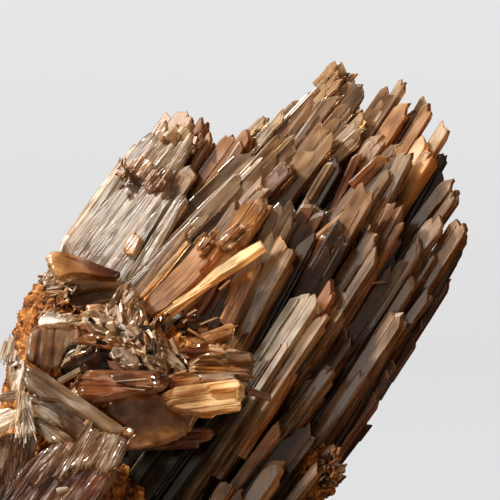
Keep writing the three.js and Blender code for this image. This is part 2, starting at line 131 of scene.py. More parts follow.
links.new(board_rays.outputs["Is Transmission Ray"], board_through.inputs[1])
links.new(board_glow.outputs[0], board_add.inputs[0])
links.new(board_seen.outputs[0], board_add.inputs[1])
links.new(board_through.outputs[0], board_mix.inputs[0])
links.new(board_plain.outputs[0], board_mix.inputs[1])
links.new(board_add.outputs[0], board_mix.inputs[2])
links.new(board_mix.outputs[0], board_out.inputs[0])
sweep_data.materials.append(board)

world = bpy.data.worlds.new("room")
scene.world = world
world.use_nodes = True
nodes, links = world.node_tree.nodes, world.node_tree.links
nodes["Background"].inputs["Strength"].default_value = 1.0
room_way = nodes.new("ShaderNodeTexCoord")
room_dot = nodes.new("ShaderNodeVectorMath")
room_dot.operation = "DOT_PRODUCT"
room_dot.inputs[1].default_value = ROOM_BRIGHT_WAY
room_half = nodes.new("ShaderNodeMath")
room_half.operation = "MULTIPLY_ADD"
room_half.inputs[1].default_value = 0.5
room_half.inputs[2].default_value = 0.5
links.new(room_way.outputs["Generated"], room_dot.inputs[0])
links.new(room_dot.outputs["Value"], room_half.inputs[0])
links.new(ramp_node(world.node_tree, room_half.outputs[0], ROOM_GLOW), nodes["Background"].inputs["Color"])

LAMP_AIM = Vector((0.01, 0.0, 0.07))


def lamp(name, way, distance, size, power, colour):
    """A round lamp that stands in one direction from the specimen's middle and points at it."""
    light = bpy.data.lights.new(name, "AREA")
    light.shape = "DISK"
    light.size = size
    light.energy = power
    light.color = colour
    stand = bpy.data.objects.new(name, light)
    scene.collection.objects.link(stand)
    way = Vector(way).normalized()
    stand.location = LAMP_AIM + way * distance
    stand.rotation_euler = (-way).to_track_quat("-Z", "Y").to_euler()
    stand.visible_camera = False


lamp("key_lamp", (-0.70, -0.42, 0.75), 1.0, 0.08, 20.2, (1.0, 0.97, 0.91))
lamp("soft_panel", (-0.58, -0.66, 0.48), 1.0, 0.46, 0.70, (1.0, 0.90, 0.79))
lamp("side_fill", (0.85, -0.50, -0.05), 1.0, 0.80, 2.6, (1.0, 0.80, 0.56))
lamp("back_panel", (0.35, 0.75, 0.60), 1.2, 0.50, 3.0, (1.0, 0.99, 0.97))

# ---- The limonite matrix ----
# Rusty iron oxide, porous and crumbly, that all the crystals grew on. It is broken off flat below, where the
# specimen rests, and shows at the left edge, in the pocket behind the front crystals and at the lower right.
MM = 0.001
MATRIX_LUMPS = [  # the middle and the half size of each, in millimetres
    ((-14, -7, 8), (34, 31, 17.5)),
    ((8, -3, 6), (20, 25, 14)),
    ((-29.6, -14, 42.7), (8.8, 20, 25.7)),
    ((-20, -20, 48), (13, 10, 14)),
    ((-23, 4, 38), (18, 19, 30)),
    ((-3, -18, 50), (8, 9, 11.5)),
    ((23.2, -8, 30.6), (5.2, 9, 6.4)),
    ((16, -5, 20), (9.5, 9, 9.5)),
    ((-27, -22, 17), (19, 16, 21)),
]
LUMP_RADIUS = 0.975
CRUMB = 0.6 * MM
RUST_COLOURS = [(0.34, (0.040, 0.014, 0.005)), (0.46, (0.22, 0.070, 0.015)),
                (0.56, (0.42, 0.17, 0.040)), (0.72, (0.60, 0.33, 0.12))]
PIT_COLOURS = [(0.33, (0.03, 0.02, 0.02)), (0.45, (1, 1, 1))]
rock_mesh = bmesh.new()
for middle, half in MATRIX_LUMPS:
    made = bmesh.ops.create_icosphere(rock_mesh, subdivisions=4, radius=LUMP_RADIUS)
    for vert in made["verts"]:
        vert.co = Vector([(m + c * h) * MM for m, c, h in zip(middle, vert.co, half)])
        vert.co.z = max(vert.co.z, 0.0)
rock_data = bpy.data.meshes.new("limonite")
rock_mesh.to_mesh(rock_data)
rock_mesh.free()
rock = bpy.data.objects.new("limonite_rock", rock_data)
scene.collection.objects.link(rock)
skin = rock.modifiers.new("skin", "REMESH")
skin.mode = "VOXEL"
skin.voxel_size = CRUMB
scene.view_layers[0].update()
shaped = bpy.data.meshes.new_from_object(rock.evaluated_get(bpy.context.evaluated_depsgraph_get()))
rock.modifiers.clear()
rock.data = shaped
low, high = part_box("limonite_matrix")
ways = [vert.normal.copy() for vert in shaped.vertices]
spots = [vert.co.copy() for vert in shaped.vertices]
for spot, way in zip(spots, ways):
    place = spot / MM
    push = 1.0 * noise.fractal(place * 0.35, 1.0, 2.0, 4)
    push -= 3.0 * max(0.0, noise.noise(place * 0.6 + Vector((7, 3, 1))) - 0.15)
    push += 0.9 * abs(noise.noise(place * 0.9)) + 0.6 * noise.noise(place * 1.6)
    above_foot = min(1.0, max(0.0, (place.z - 0.2) / 2.0))
    spot += way * push * MM * above_foot
    spot.x = min(max(spot.x, low[0]), high[0])
    spot.y = min(max(spot.y, low[1]), high[1])
    spot.z = min(max(spot.z, 0.0), high[2])
shaped.vertices.foreach_set("co", [value for spot in spots for value in spot])


def noise_node(tree, where, scale, detail=3.0, rough=0.6):
    """A cloudy value at each place."""
    texture = tree.nodes.new("ShaderNodeTexNoise")
    texture.inputs["Scale"].default_value = scale
    texture.inputs["Detail"].default_value = detail
    texture.inputs["Roughness"].default_value = rough
    tree.links.new(where, texture.inputs["Vector"])
    return texture.outputs["Fac"]


def set_or_link(tree, value, socket):
    """Gives a socket a plain number or colour, or what another node puts out."""
    if isinstance(value, (float, int)):
        socket.default_value = value
    elif isinstance(value, tuple):
        socket.default_value = (*value, 1)
    else:
        tree.links.new(value, socket)


def mix_colour(tree, factor, first, second, blend="MIX"):
    """Two colours blended; each may be a plain colour or come from another node."""
    mix = tree.nodes.new("ShaderNodeMix")
    mix.data_type = "RGBA"
    mix.blend_type = blend
    set_or_link(tree, factor, mix.inputs["Factor"])
    set_or_link(tree, first, mix.inputs["A"])
    set_or_link(tree, second, mix.inputs["B"])
    return mix.outputs["Result"]


def bump_node(tree, height, strength, distance):
    """Small relief that follows a value."""
    bump = tree.nodes.new("ShaderNodeBump")
    bump.inputs["Strength"].default_value = strength
    bump.inputs["Distance"].default_value = distance
    tree.links.new(height, bump.inputs["Height"])
    return bump


limonite = bpy.data.materials.new("limonite_crust")
limonite.use_nodes = True
tree = limonite.node_tree
crust = tree.nodes["Principled BSDF"]
crust.inputs["Roughness"].default_value = 0.9
crust.inputs["Specular IOR Level"].default_value = 0.3
rock_way = tree.nodes.new("ShaderNodeTexCoord")
ochre = noise_node(tree, rock_way.outputs["Object"], 260.0, 4.0, 0.65)
specks = noise_node(tree, rock_way.outputs["Object"], 900.0, 2.0, 0.6)
rock_colour = ramp_node(tree, ochre, RUST_COLOURS)
rock_colour = mix_colour(tree, 1.0, rock_colour, ramp_node(tree, specks, PIT_COLOURS), "MULTIPLY")
tree.links.new(rock_colour, crust.inputs["Base Color"])
rock_bump = bump_node(tree, specks, 0.9, 0.6 * MM)
tree.links.new(rock_bump.outputs[0], crust.inputs["Normal"])
shaped.materials.clear()
shaped.materials.append(limonite)
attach(rock, "root")
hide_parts("limonite_matrix")

# ---- The crystal sheaf ----
# Flat barite blades grown side by side, each of many thin laths with a broken, stepped end. They are fused
# into one mass where they leave the matrix. The rows give each blade's tip, size and lean, in millimetres
# and degrees.
ENDS = {  # how a broken end runs from left to right, in widths of its blade
    "flat": [(-0.5, -0.1), (-0.42, 0), (0.36, -0.05), (0.5, -0.18)],
    "peak": [(-0.5, -0.62), (-0.1, 0), (0.1, -0.06), (0.5, -0.6)],
    "round": [(-0.5, -0.5), (-0.32, -0.1), (0, 0), (0.3, -0.1), (0.5, -0.45)],
    "slopeRight": [(-0.5, -0.1), (-0.4, 0), (0.1, -0.26), (0.5, -0.62)],
    "slopeLeft": [(-0.5, -0.62), (-0.1, -0.26), (0.4, 0), (0.5, -0.1)],
    "spike": [(-0.5, -1.5), (-0.15, -0.7), (0.1, 0), (0.5, -1.1)],
    "stepRight": [(-0.5, -0.1), (-0.4, 0), (0.02, -0.08), (0.08, -0.48), (0.5, -0.62)],
    "stepLeft": [(-0.5, -0.62), (-0.08, -0.48), (-0.02, -0.08), (0.4, 0), (0.5, -0.1)],
    "saw": [(-0.5, -0.26), (-0.36, 0), (-0.1, -0.22), (0.14, -0.1), (0.5, -0.4)],
}
TINTS = {
    "t": (0.236, 0.130, 0.064),  # taupe
    "m": (0.244, 0.144, 0.086),  # mauve grey
    "q": (0.114, 0.063, 0.029),  # deep grey brown
    "p": (0.450, 0.320, 0.205),  # pale
    "g": (0.270, 0.180, 0.112),  # clear grey
    "h": (0.47, 0.225, 0.066),  # honey
    "a": (0.320, 0.100, 0.014),  # amber brown
    "b": (0.120, 0.038, 0.009),  # brown
    "d": (0.034, 0.013, 0.005),  # dark brown, painted as shade on blades, companions and the mass that lie in shadow
    "w": (0.532, 0.481, 0.403),  # silvery white; on the ridge's short dashes a painted glint
    "r": (0.190, 0.050, 0.010),  # reddish brown
    "c": (0.70, 0.44, 0.20),  # clear honey
    "k": (0.009, 0.007, 0.004),  # painted shade: the near black of a gap
    "o": (0.304, 0.118, 0.025),  # ochre stain
    "s": (0.289, 0.237, 0.18),  # silvery grey
    "u": (0.16, 0.1, 0.058),  # umber grey
    "y": (0.99, 0.80, 0.48),  # the clear honey end
    "n": (0.43, 0.375, 0.295),  # cloudy white
    "v": (0.40, 0.375, 0.345),  # silver, a painted sheen
    "e": (0.33, 0.20, 0.10),  # tan
    "i": (0.90, 0.87, 0.84),  # ice white
}
LEFT_PAINTED_SHADE = 0.72  # painted shade: how much of its tint a blade keeps on its left facet and side, which face the lamp
SLIVER_GLEAM = (0.85, 0.74, 0.58)  # the pale colour some slivers turn towards, a painted glint
SEEN_LENGTH = 30.0  # growth steps and slivers start within this much of a blade's tip
LEAST_HEIGHT = 0.5 * MM  # the crystals stay above the level of the foot
LONG_EDGE = 0.7  # past this a run of an outline faces left or right enough to be a long edge
NARROW_SIDE = 0.6  # and past this its face counts as a narrow side
RIB_COLUMN = 0.24  # the grid of a stout crystal, across its ribs
RIB_ROW = 0.7  # and along them
RIB_CHIP = 0.875  # how deep the ends of its ribs may be chipped
PLAIN_ENDS = ("flat", "peak", "round", "slopeRight", "slopeLeft", "spike")
PLAIN_FACE = (0.0, 0.0, 0.0)  # no narrow side, painted edge highlight or rust
MASS_GRAIN = 15  # how far the marks on a mass's sides run along its grain


def shade(tint, amount):
    """A tint made lighter or darker."""
    return tuple(min(1.0, c * amount) for c in tint)


def cut_facets(rim, left_facet, end_facet, right_facet):
    """Which way each run of an outline faces, and the outline moved in by the facets along it."""
    ways, widths = [], []
    for (u0, a0), (u1, a1) in zip(rim, rim[1:] + rim[:1]):
        long = math.hypot(u1 - u0, a1 - a0) or 1.0
        across, along = (a0 - a1) / long, (u1 - u0) / long
        ways.append((across, along))
        if across < -LONG_EDGE:
            widths.append(left_facet)
        elif across > LONG_EDGE:
            widths.append(right_facet)
        else:
            widths.append(end_facet if along > 0 else 0.0)
    inset = []
    for k, (corner_u, corner_a) in enumerate(rim):
        (u0, a0), (u1, a1) = ways[k - 1], ways[k]
        cross = u0 * a1 - a0 * u1
        if abs(cross) > 0.35:
            u = (widths[k - 1] * a1 - widths[k] * a0) / cross
            a = (widths[k] * u0 - widths[k - 1] * u1) / cross
        else:
            most = max(widths[k - 1], widths[k])
            u, a = most * (u0 + u1) / 2, most * (a0 + a1) / 2
        inset.append((corner_u - u, corner_a - a))
    return ways, inset


class Blades:
    """The flat crystals of one piece, with what its finish reads at each corner of each face.

    A corner has its tint, four marks (how much it lies on a narrow side, its painted edge highlight, its
    rust, the painted glow of its rim there) and its place, measured across and along its own crystal in
    millimetres.
    """

    def __init__(self, seed):
        self.points, self.faces, self.tints, self.marks, self.places, self.rounded = [], [], [], [], [], []
        self.chance = random.Random(seed)

    def face(self, points, tint, mark, places, rims=None):
        """One face in one tint; rims gives the painted glow of the rim at each of its corners."""
        self.faces.append(points)
        self.tints.extend((*tint, 1.0) for _ in points)
        self.marks.extend((*mark, pale) for pale in rims or [0.0] * len(points))
        self.places.extend(places)

    def prism(self, place, rim, out, thick, tint, rust, facets, top, slants, flares, rim_glow=1.0):
        """A flat crystal from its outline, listed clockwise; slants and flares move the corners of its back.

        facets holds the width of the facet along its left, its end and its right, and how deep the facets go.
        """
        count, deep = len(rim), facets[3]
        ways, inset = cut_facets(rim, *facets[:3])
        left, right = min(u for u, _ in inset), max(u for u, _ in inset)
        span = right - left
        core = [(left + span * (0.22 + 0.56 * (u - left) / max(0.01, span)), min(a, top - 0.3 * span))
                for u, a in inset]
        back = [(u + flare, a + slant) for (u, a), slant, flare in zip(rim, slants, flares)]
        layers = [(inset, thick / 2), (rim, thick / 2 - deep), (back, -thick / 2), (core, thick / 2)]
        first = len(self.points)
        for ring, height in layers:
            self.points += [place @ Vector((u * MM, a * MM, (out + height) * MM)) for u, a in ring]
        shift = self.chance.uniform(0, 400)

        def skin(corners, colour, mark, fold=0.0, rims=None):
            places = []
            for layer, k in corners:
                ring, height = layers[layer]
                places.append((shift + ring[k][0] - fold * height, ring[k][1] - top))
            self.face([first + count * layer + k for layer, k in corners], colour, mark, places, rims)

        for k in range(count):
            after = (k + 1) % count
            across = ways[k][0]
            if across > NARROW_SIDE:
                # the facets carry a painted highlight; the left facet and side also take painted shade
                colour, facet, side, lit_edge = tint, 0.7, 1.0, 0.6
            elif across < -NARROW_SIDE:
                colour, facet, side, lit_edge = shade(tint, LEFT_PAINTED_SHADE), 0.3, 0.6, 0.4 * min(1.0, 6 * deep)
            else:
                colour, facet, side, lit_edge = tint, 0.3, 0.45, min(1.0, 6 * deep)
            skin([(0, k), (0, after), (1, after), (1, k)], colour, (facet, lit_edge, rust), 2)
            skin([(1, k), (1, after), (2, after), (2, k)], colour, (side, 0.0, rust), 2)
            rim_glows = (rim_glow, rim_glow, 0.0, 0.0)
            skin([(0, after), (0, k), (3, k), (3, after)], tint, (0.0, 0.0, rust), 0, rim_glows)
        skin([(3, k) for k in reversed(range(count))], tint, (0.0, 0.0, rust))
        skin([(2, k) for k in range(count)], tint, (0.0, 0.0, rust))

    def lath(self, place, end, bottom, out, thick, tint, rust, bevel, jogs=(1, 1), slant=0.0, flare=0.0,
             chisel=0.0):
        """A flat crystal whose broken end runs from left to right, with jogs down both long edges."""
        pick = self.chance.uniform
        rim = list(end)
        for _ in range(jogs[1]):
            along = rim[-1][1] + (bottom - rim[-1][1]) * pick(0.08, 0.7)
            if along < rim[-1][1] - 1:
                rim += [(rim[-1][0], along), (rim[-1][0] + pick(-0.3, 0.18), along - pick(0.05, 0.9))]
        rim.append((rim[-1][0] + pick(-0.3, 0.2), bottom))
        lefts = [(end[0][0] + pick(-0.2, 0.3), bottom)]
        for _ in range(jogs[0]):
            along = bottom + (end[0][1] - bottom) * pick(0.3, 0.9)
            step = pick(-0.1, 0.28)
            if lefts[-1][1] + 1 < along < end[0][1] - 1:
                lefts += [(end[0][0] + step, along - pick(0.05, 0.9)), (end[0][0], along)]
        rim += lefts
        middle, width = (end[0][0] + end[-1][0]) / 2, end[-1][0] - end[0][0]
        slants = [slant + pick(-0.25, 0.25) if k < len(end) else 0.0 for k in range(len(rim))]
        flares = [flare if u > middle else -0.3 * flare for u, _ in rim]
        bevel = min(bevel, 0.25 * thick, 0.16 * width)
        deep = max(bevel * 0.5, min(chisel * 0.4, 0.4 * thick))
        left_facet = min(deep * pick(0.9, 2.2), 0.18 * width)
        facets = (left_facet, max(bevel, chisel), bevel * pick(0.6, 1.4), deep)
        self.prism(place, rim, out, thick, tint, rust, facets, max(a for _, a in end), slants, flares)

    def flat_on(self, outline, y, leans, grain):
        """Where a plate lies, and its outline measured across and along its grain."""
        grain = math.radians(grain)
        middle_x = sum(x for x, _ in outline) / len(outline)
        middle_z = sum(z for _, z in outline) / len(outline)
        right, up = Vector((1, leans[0], 0)), Vector((0, leans[1], 1))
        across = right * math.sin(grain) - up * math.cos(grain)
        along = right * math.cos(grain) + up * math.sin(grain)
        turned = Matrix((across, along, across.cross(along).normalized())).transposed().to_4x4()
        place = Matrix.Translation(Vector((middle_x, y, middle_z)) * MM) @ turned
        sine, cosine = math.sin(grain), math.cos(grain)
        from_middle = [(x - middle_x, z - middle_z) for x, z in outline]
        return place, [(dx * sine - dz * cosine, dx * cosine + dz * sine) for dx, dz in from_middle]

    def slab(self, outline, y, leans, thick, tint, grain, rust, bevel, slope=0.2):
        """A plate from its outline seen from the front, (x, z) clockwise; leans tip it right and up."""
        place, rim = self.flat_on(outline, y, leans, grain)
        pick = self.chance.uniform
        slants = [a * slope * 0.1 + pick(-0.3, 0.3) * thick * slope for _, a in rim]
        flares = [u * slope * 0.1 + pick(-0.3, 0.3) * thick * slope for u, _ in rim]
        top = max(a for _, a in rim)
        self.prism(place, rim, -thick / 2, thick, tint, rust, (bevel,) * 4, top, slants, flares, 0.3)

    def ribbed(self, row, rust):
        """A stout crystal that swells from its outline, with fine ribs along its grain.

        A row is its outline as (x, z) clockwise, its depth, its leans right and up, its thickness, its tint,
        the angle of its grain, its tint at the far end, the height of its ribs and of its lumps, and whether
        it is crisp.
        """
        outline, y, leans, thick, tint, grain, tip, ribs, lumps, crisp = row
        place, rim = self.flat_on(outline, y, leans, grain)
        left, right = min(u for u, _ in rim), max(u for u, _ in rim)
        low, high = min(a for _, a in rim), max(a for _, a in rim)
        columns = max(4, round((right - left) / RIB_COLUMN))
        rows = max(6, min(26, round((high - low) / RIB_ROW)))
        shift, first, count = self.chance.uniform(0, 400), len(self.points), rows + 1

        def wave(u, a, level=0):
            return noise.noise(Vector((u + shift, a, level)))

        def relief(u, a):
            terrace = round(3.0 * wave(u, a * 0.06)) / 3.0 if crisp else wave(u * 1.1, a * 0.05)
            bumps = noise.noise(Vector((u * 0.55, a * 0.40, shift)))
            bumps += 0.4 * noise.noise(Vector((u * 1.5, a * 1.2, shift)))
            return ribs * (1.6 * terrace + 0.6 * wave(u * 3.1, a * 0.10, 5)) + lumps * bumps

        def look(u, a, off, along, near_rim):
            blend = min(1.0, max(0.0, (a - low) / (high - low)))
            blend = blend ** 2 * (3 - 2 * blend) * (0.4 + 0.6 * blend)
            tone = 1.0 + 0.25 * wave(u * 0.9, a * 0.10, 9)
            colour = [min(1.0, (c0 + (c1 - c0) * blend) * tone) for c0, c1 in zip(TINTS[tint], TINTS[tip])]
            # painted glow along the right edge and the rim, painted highlight on the left edge and the far
            # end
            side, lit_edge = max(0.0, off) ** 7, 0.8 * max(0.0, -off) ** 16 + 0.5 * max(0.0, 2 * along - 1) ** 20
            spot = (shift + u, a - high) if crisp else (shift + 0.45 * u, 1.5 * (a - high))
            return colour, (side, lit_edge, rust, near_rim ** 8), spot

        looks = []
        for i in range(columns + 1):
            u = left + (right - left) * (0.004 + 0.992 * i / columns)
            cuts = [a0 + (a1 - a0) * (u - u0) / (u1 - u0)
                    for (u0, a0), (u1, a1) in zip(rim, rim[1:] + rim[:1]) if min(u0, u1) <= u < max(u0, u1)]
            bottom, top = min(cuts), max(cuts)
            longest_chip = 0.4 * (top - bottom)
            top -= min(RIB_CHIP * abs(wave(u * 1.7, 3.0)), longest_chip)
            if crisp:
                bottom += min(RIB_CHIP * abs(wave(u * 1.7, 8.0)), longest_chip)
            off = 2.0 * i / columns - 1.0
            for j in range(count):
                along = 0.5 - 0.5 * math.cos(math.pi * j / rows)
                a = bottom + (top - bottom) * along
                near_rim = max(abs(off), abs(2.0 * along - 1.0))
                height = thick / 2 * (1.0 - 0.55 * near_rim ** 16)
                height += relief(u, a) * (1.0 - 0.7 * near_rim ** 12)
                self.points.append(place @ Vector((u * MM, a * MM, height * MM)))
                looks.append(look(u, a, off, along, near_rim))
        border = [i * count for i in range(columns)] + [columns * count + j for j in range(rows)]
        border += [i * count + rows for i in range(columns, 0, -1)] + list(range(rows, 0, -1))
        back = len(self.points) - first
        away = place.inverted()
        for k in border:
            u, a, _ = away @ self.points[first + k]
            self.points.append(place @ Vector((u, a, -thick / 2 * MM)))
            looks.append((looks[k][0], (0.6, 0.0, rust, 0.0), looks[k][2]))

        def skin(corners):
            self.faces.append([first + k for k in corners])
            for k in corners:
                colour, mark, spot = looks[k]
                self.tints.append((*colour, 1.0))
                self.marks.append(mark)
                self.places.append(spot)

        begun = len(self.faces)
        for i in range(columns):
            for j in range(rows):
                skin([i * count + j, (i + 1) * count + j, (i + 1) * count + j + 1, i * count + j + 1])
        if not crisp:
            self.rounded.append((begun, len(self.faces)))
        around = len(border)
        for k in range(around):
            after = (k + 1) % around
            skin([border[after], border[k], back + k, back + after])
        skin([back + k for k in reversed(range(around))])

    def inside(self, outline, reach):
        """A chance place within an outline."""
        middle = [sum(corner[i] for corner in outline) / len(outline) for i in (0, 1)]
        k = self.chance.randrange(len(outline))
        (x0, z0), (x1, z1) = outline[k], outline[(k + 1) % len(outline)]
        share, far = self.chance.random(), reach * math.sqrt(self.chance.random())
        x, z = x0 + (x1 - x0) * share, z0 + (z1 - z0) * share
        return middle[0] + far * (x - middle[0]), middle[1] + far * (z - middle[1])

    def needle(self, middle, way, length, width, y, leans, tint, rust=0.0):
        """A thin lath lying in the plane of a face; way is its angle above level."""
        rise, pick = math.radians(way), self.chance.uniform
        dx, dz = math.cos(rise) * length / 2, math.sin(rise) * length / 2
        wx, wz = -math.sin(rise) * width / 2, math.cos(rise) * width / 2
        x, z = middle
        blunt = pick(0.6, 1.0)
        outline = [(x - dx + wx, z - dz + wz), (x + dx * blunt + wx, z + dz * blunt + wz), (x + dx, z + dz),
                   (x + dx * 0.9 - wx, z + dz * 0.9 - wz), (x - dx - wx, z - dz - wz)]
        self.slab(outline, y, leans, max(0.25, width * 0.7), tint, way, rust, 0.12 * width)

    def splinter(self, start, finish, width, y, tint):
        """A loose needle from one place to another."""
        middle = ((start[0] + finish[0]) / 2, (start[1] + finish[1]) / 2)
        way = math.degrees(math.atan2(finish[1] - start[1], finish[0] - start[0]))
        self.needle(middle, way, math.dist(start, finish), width, y, (0, 0.3), TINTS[tint])

    def plate(self, row, slivers, rust):
        """A slab with short laths along the grain of its face; a row is as for ribbed, up to the grain."""
        outline, y, leans, thick, tint, grain = row
        pick = self.chance.uniform
        self.slab(outline, y, leans, thick, TINTS[tint], grain, rust, 0.25)
        middle_x = sum(x for x, _ in outline) / len(outline)
        middle_z = sum(z for _, z in outline) / len(outline)
        rise = math.radians(grain)
        along = [x * math.cos(rise) + z * math.sin(rise) for x, z in outline]
        across = [z * math.cos(rise) - x * math.sin(rise) for x, z in outline]
        long, wide = max(along) - min(along), max(across) - min(across)
        for _ in range(slivers):
            x, z = self.inside(outline, 0.7)
            level_y = y + (x - middle_x) * leans[0] + (z - middle_z) * leans[1]
            way, length = grain + pick(-2, 2), pick(0.15, 0.5) * long
            width, depth = min(0.7, pick(0.04, 0.16) * wide), level_y - pick(0.0, 0.1)
            colour = shade(TINTS[tint], self.chance.choice((0.85, 0.95, 1.1, 1.3)))
            self.needle((x, z), way, length, width, depth, leans, colour, rust)

    def chips(self, outline, count, y, tints, size=(0.7, 2.6), way=20, spread=60, tip=0.7, slim=(0.2, 0.45)):
        """Small broken crystals that lie at all angles over a place."""
        pick = self.chance.uniform
        for _ in range(count):
            x, z = self.inside(outline, 1.0)
            long, wide = pick(*size), pick(*slim)
            rise = math.radians(way + pick(-spread, spread))
            corners = []
            for turn, reach in ((152, 1.0), (28, 1.0), (-6, 1.1), (-30, 0.9), (-160, 1.0)):
                turn = math.radians(turn + pick(-14, 14))
                u, v = long * 0.5 * reach * math.cos(turn), long * wide * reach * math.sin(turn)
                corner_x = x + u * math.cos(rise) - v * math.sin(rise)
                corners.append((corner_x, z + u * math.sin(rise) + v * math.cos(rise)))
            depth, leans, thick = y + pick(-0.8, 0.8), (pick(-tip, tip), pick(-tip, tip)), pick(0.4, 1.0)
            tint = shade(TINTS[self.chance.choice(tints)], pick(0.6, 1.3))
            self.slab(corners, depth, leans, thick, tint, math.degrees(rise), 0.3, 0.04, 0.5)

    def feathers(self, outline, count, y, leans, tints, way, size, wide):
        """Fine laths side by side over a face, each a little out of its plane."""
        pick = self.chance.uniform
        middle_x = sum(x for x, _ in outline) / len(outline)
        middle_z = sum(z for _, z in outline) / len(outline)
        for _ in range(count):
            x, z = self.inside(outline, 0.9)
            level_y = y + (x - middle_x) * leans[0] + (z - middle_z) * leans[1]
            turn, length = way + pick(-2, 2), pick(*size)
            width, depth = pick(*wide), level_y - pick(0.0, 0.25)
            tipped = (leans[0] + pick(-0.12, 0.12), leans[1] + pick(-0.04, 0.04))
            tint = shade(TINTS[self.chance.choice(tints)], pick(0.75, 1.2))
            self.needle((x, z), turn, length, width, depth, tipped, tint, 0.3)

    def build(self, name, material):
        """The piece as one mesh; nothing of it goes below the level of the foot."""
        data = bpy.data.meshes.new(name)
        for point in self.points:
            point.z = max(point.z, LEAST_HEIGHT)
        data.from_pydata(self.points, [], self.faces)
        for start, finish in self.rounded:
            for face in data.polygons[start:finish]:
                face.use_smooth = True
        for attribute, values in (("tint", self.tints), ("marks", self.marks)):
            layer = data.attributes.new(attribute, "FLOAT_COLOR", "CORNER")
            layer.data.foreach_set("color", [c for value in values for c in value])
        data.uv_layers.new(name="blade").data.foreach_set("uv", [c for place in self.places for c in place])
        data.materials.append(material)
        piece = bpy.data.objects.new(name, data)
        scene.collection.objects.link(piece)
        return piece


def blade_place(x, y, z, lean, turn, behind=False):
    """Where a blade's tip is, with its own axes: across it, along it and out of its broad face."""
    lean, turn = math.radians(lean), math.radians(turn)
    along = Vector((math.cos(lean), 0, math.sin(lean)))
    upper_left = Vector((-math.sin(lean), 0, math.cos(lean)))
    out = Vector((0, -math.cos(turn), 0)) + upper_left * math.sin(turn)
    if behind:
        out = -out
    turned = Matrix((along.cross(out), along, out)).transposed().to_4x4()
    return Matrix.Translation(Vector((x, y, z)) * MM) @ turned


def end_at(end, share):
    """How far a blade's end lies behind its tip, at a share of its width."""
    outline = ENDS[end]
    for (u0, b0), (u1, b1) in zip(outline, outline[1:]):
        if share <= u1:
            return b0 + (b1 - b0) * (share - u0) / (u1 - u0)
    return outline[-1][1]


def broken_end(chance, left, right, rise, ragged):
    """Points across a broken end: short oblique runs with steps between them; rise(across) is its height."""
    points, across = [], left
    while across < right - 0.12:
        after = min(right, across + chance.uniform(0.8, 2.6))
        if right - after < 0.5:
            after = right
        high = rise((across + after) / 2) - ragged * 1.6 * chance.random() ** 2
        tilt = chance.choice((-1, 1)) * chance.uniform(0.1, 0.5) * (after - across)
        points += [(across + 0.02, high - tilt), (after, high + tilt)]
        across = after
    if len(points) > 1 and right - left > 0.8:
        (u0, a0), (u1, a1) = points[0], points[-1]
        cut = min(0.7, 0.3 * (right - left))
        points[0] = (u0 + chance.uniform(0.3, 1.0) * cut, a0)
        points.insert(0, (u0, a0 - chance.uniform(0.4, 2.6) * cut))
        points[-1] = (max(points[-2][0] + 0.05, u1 - chance.uniform(0.3, 1.0) * cut), a1)
        points.append((u1, a1 - chance.uniform(0.4, 2.6) * cut))
    return points


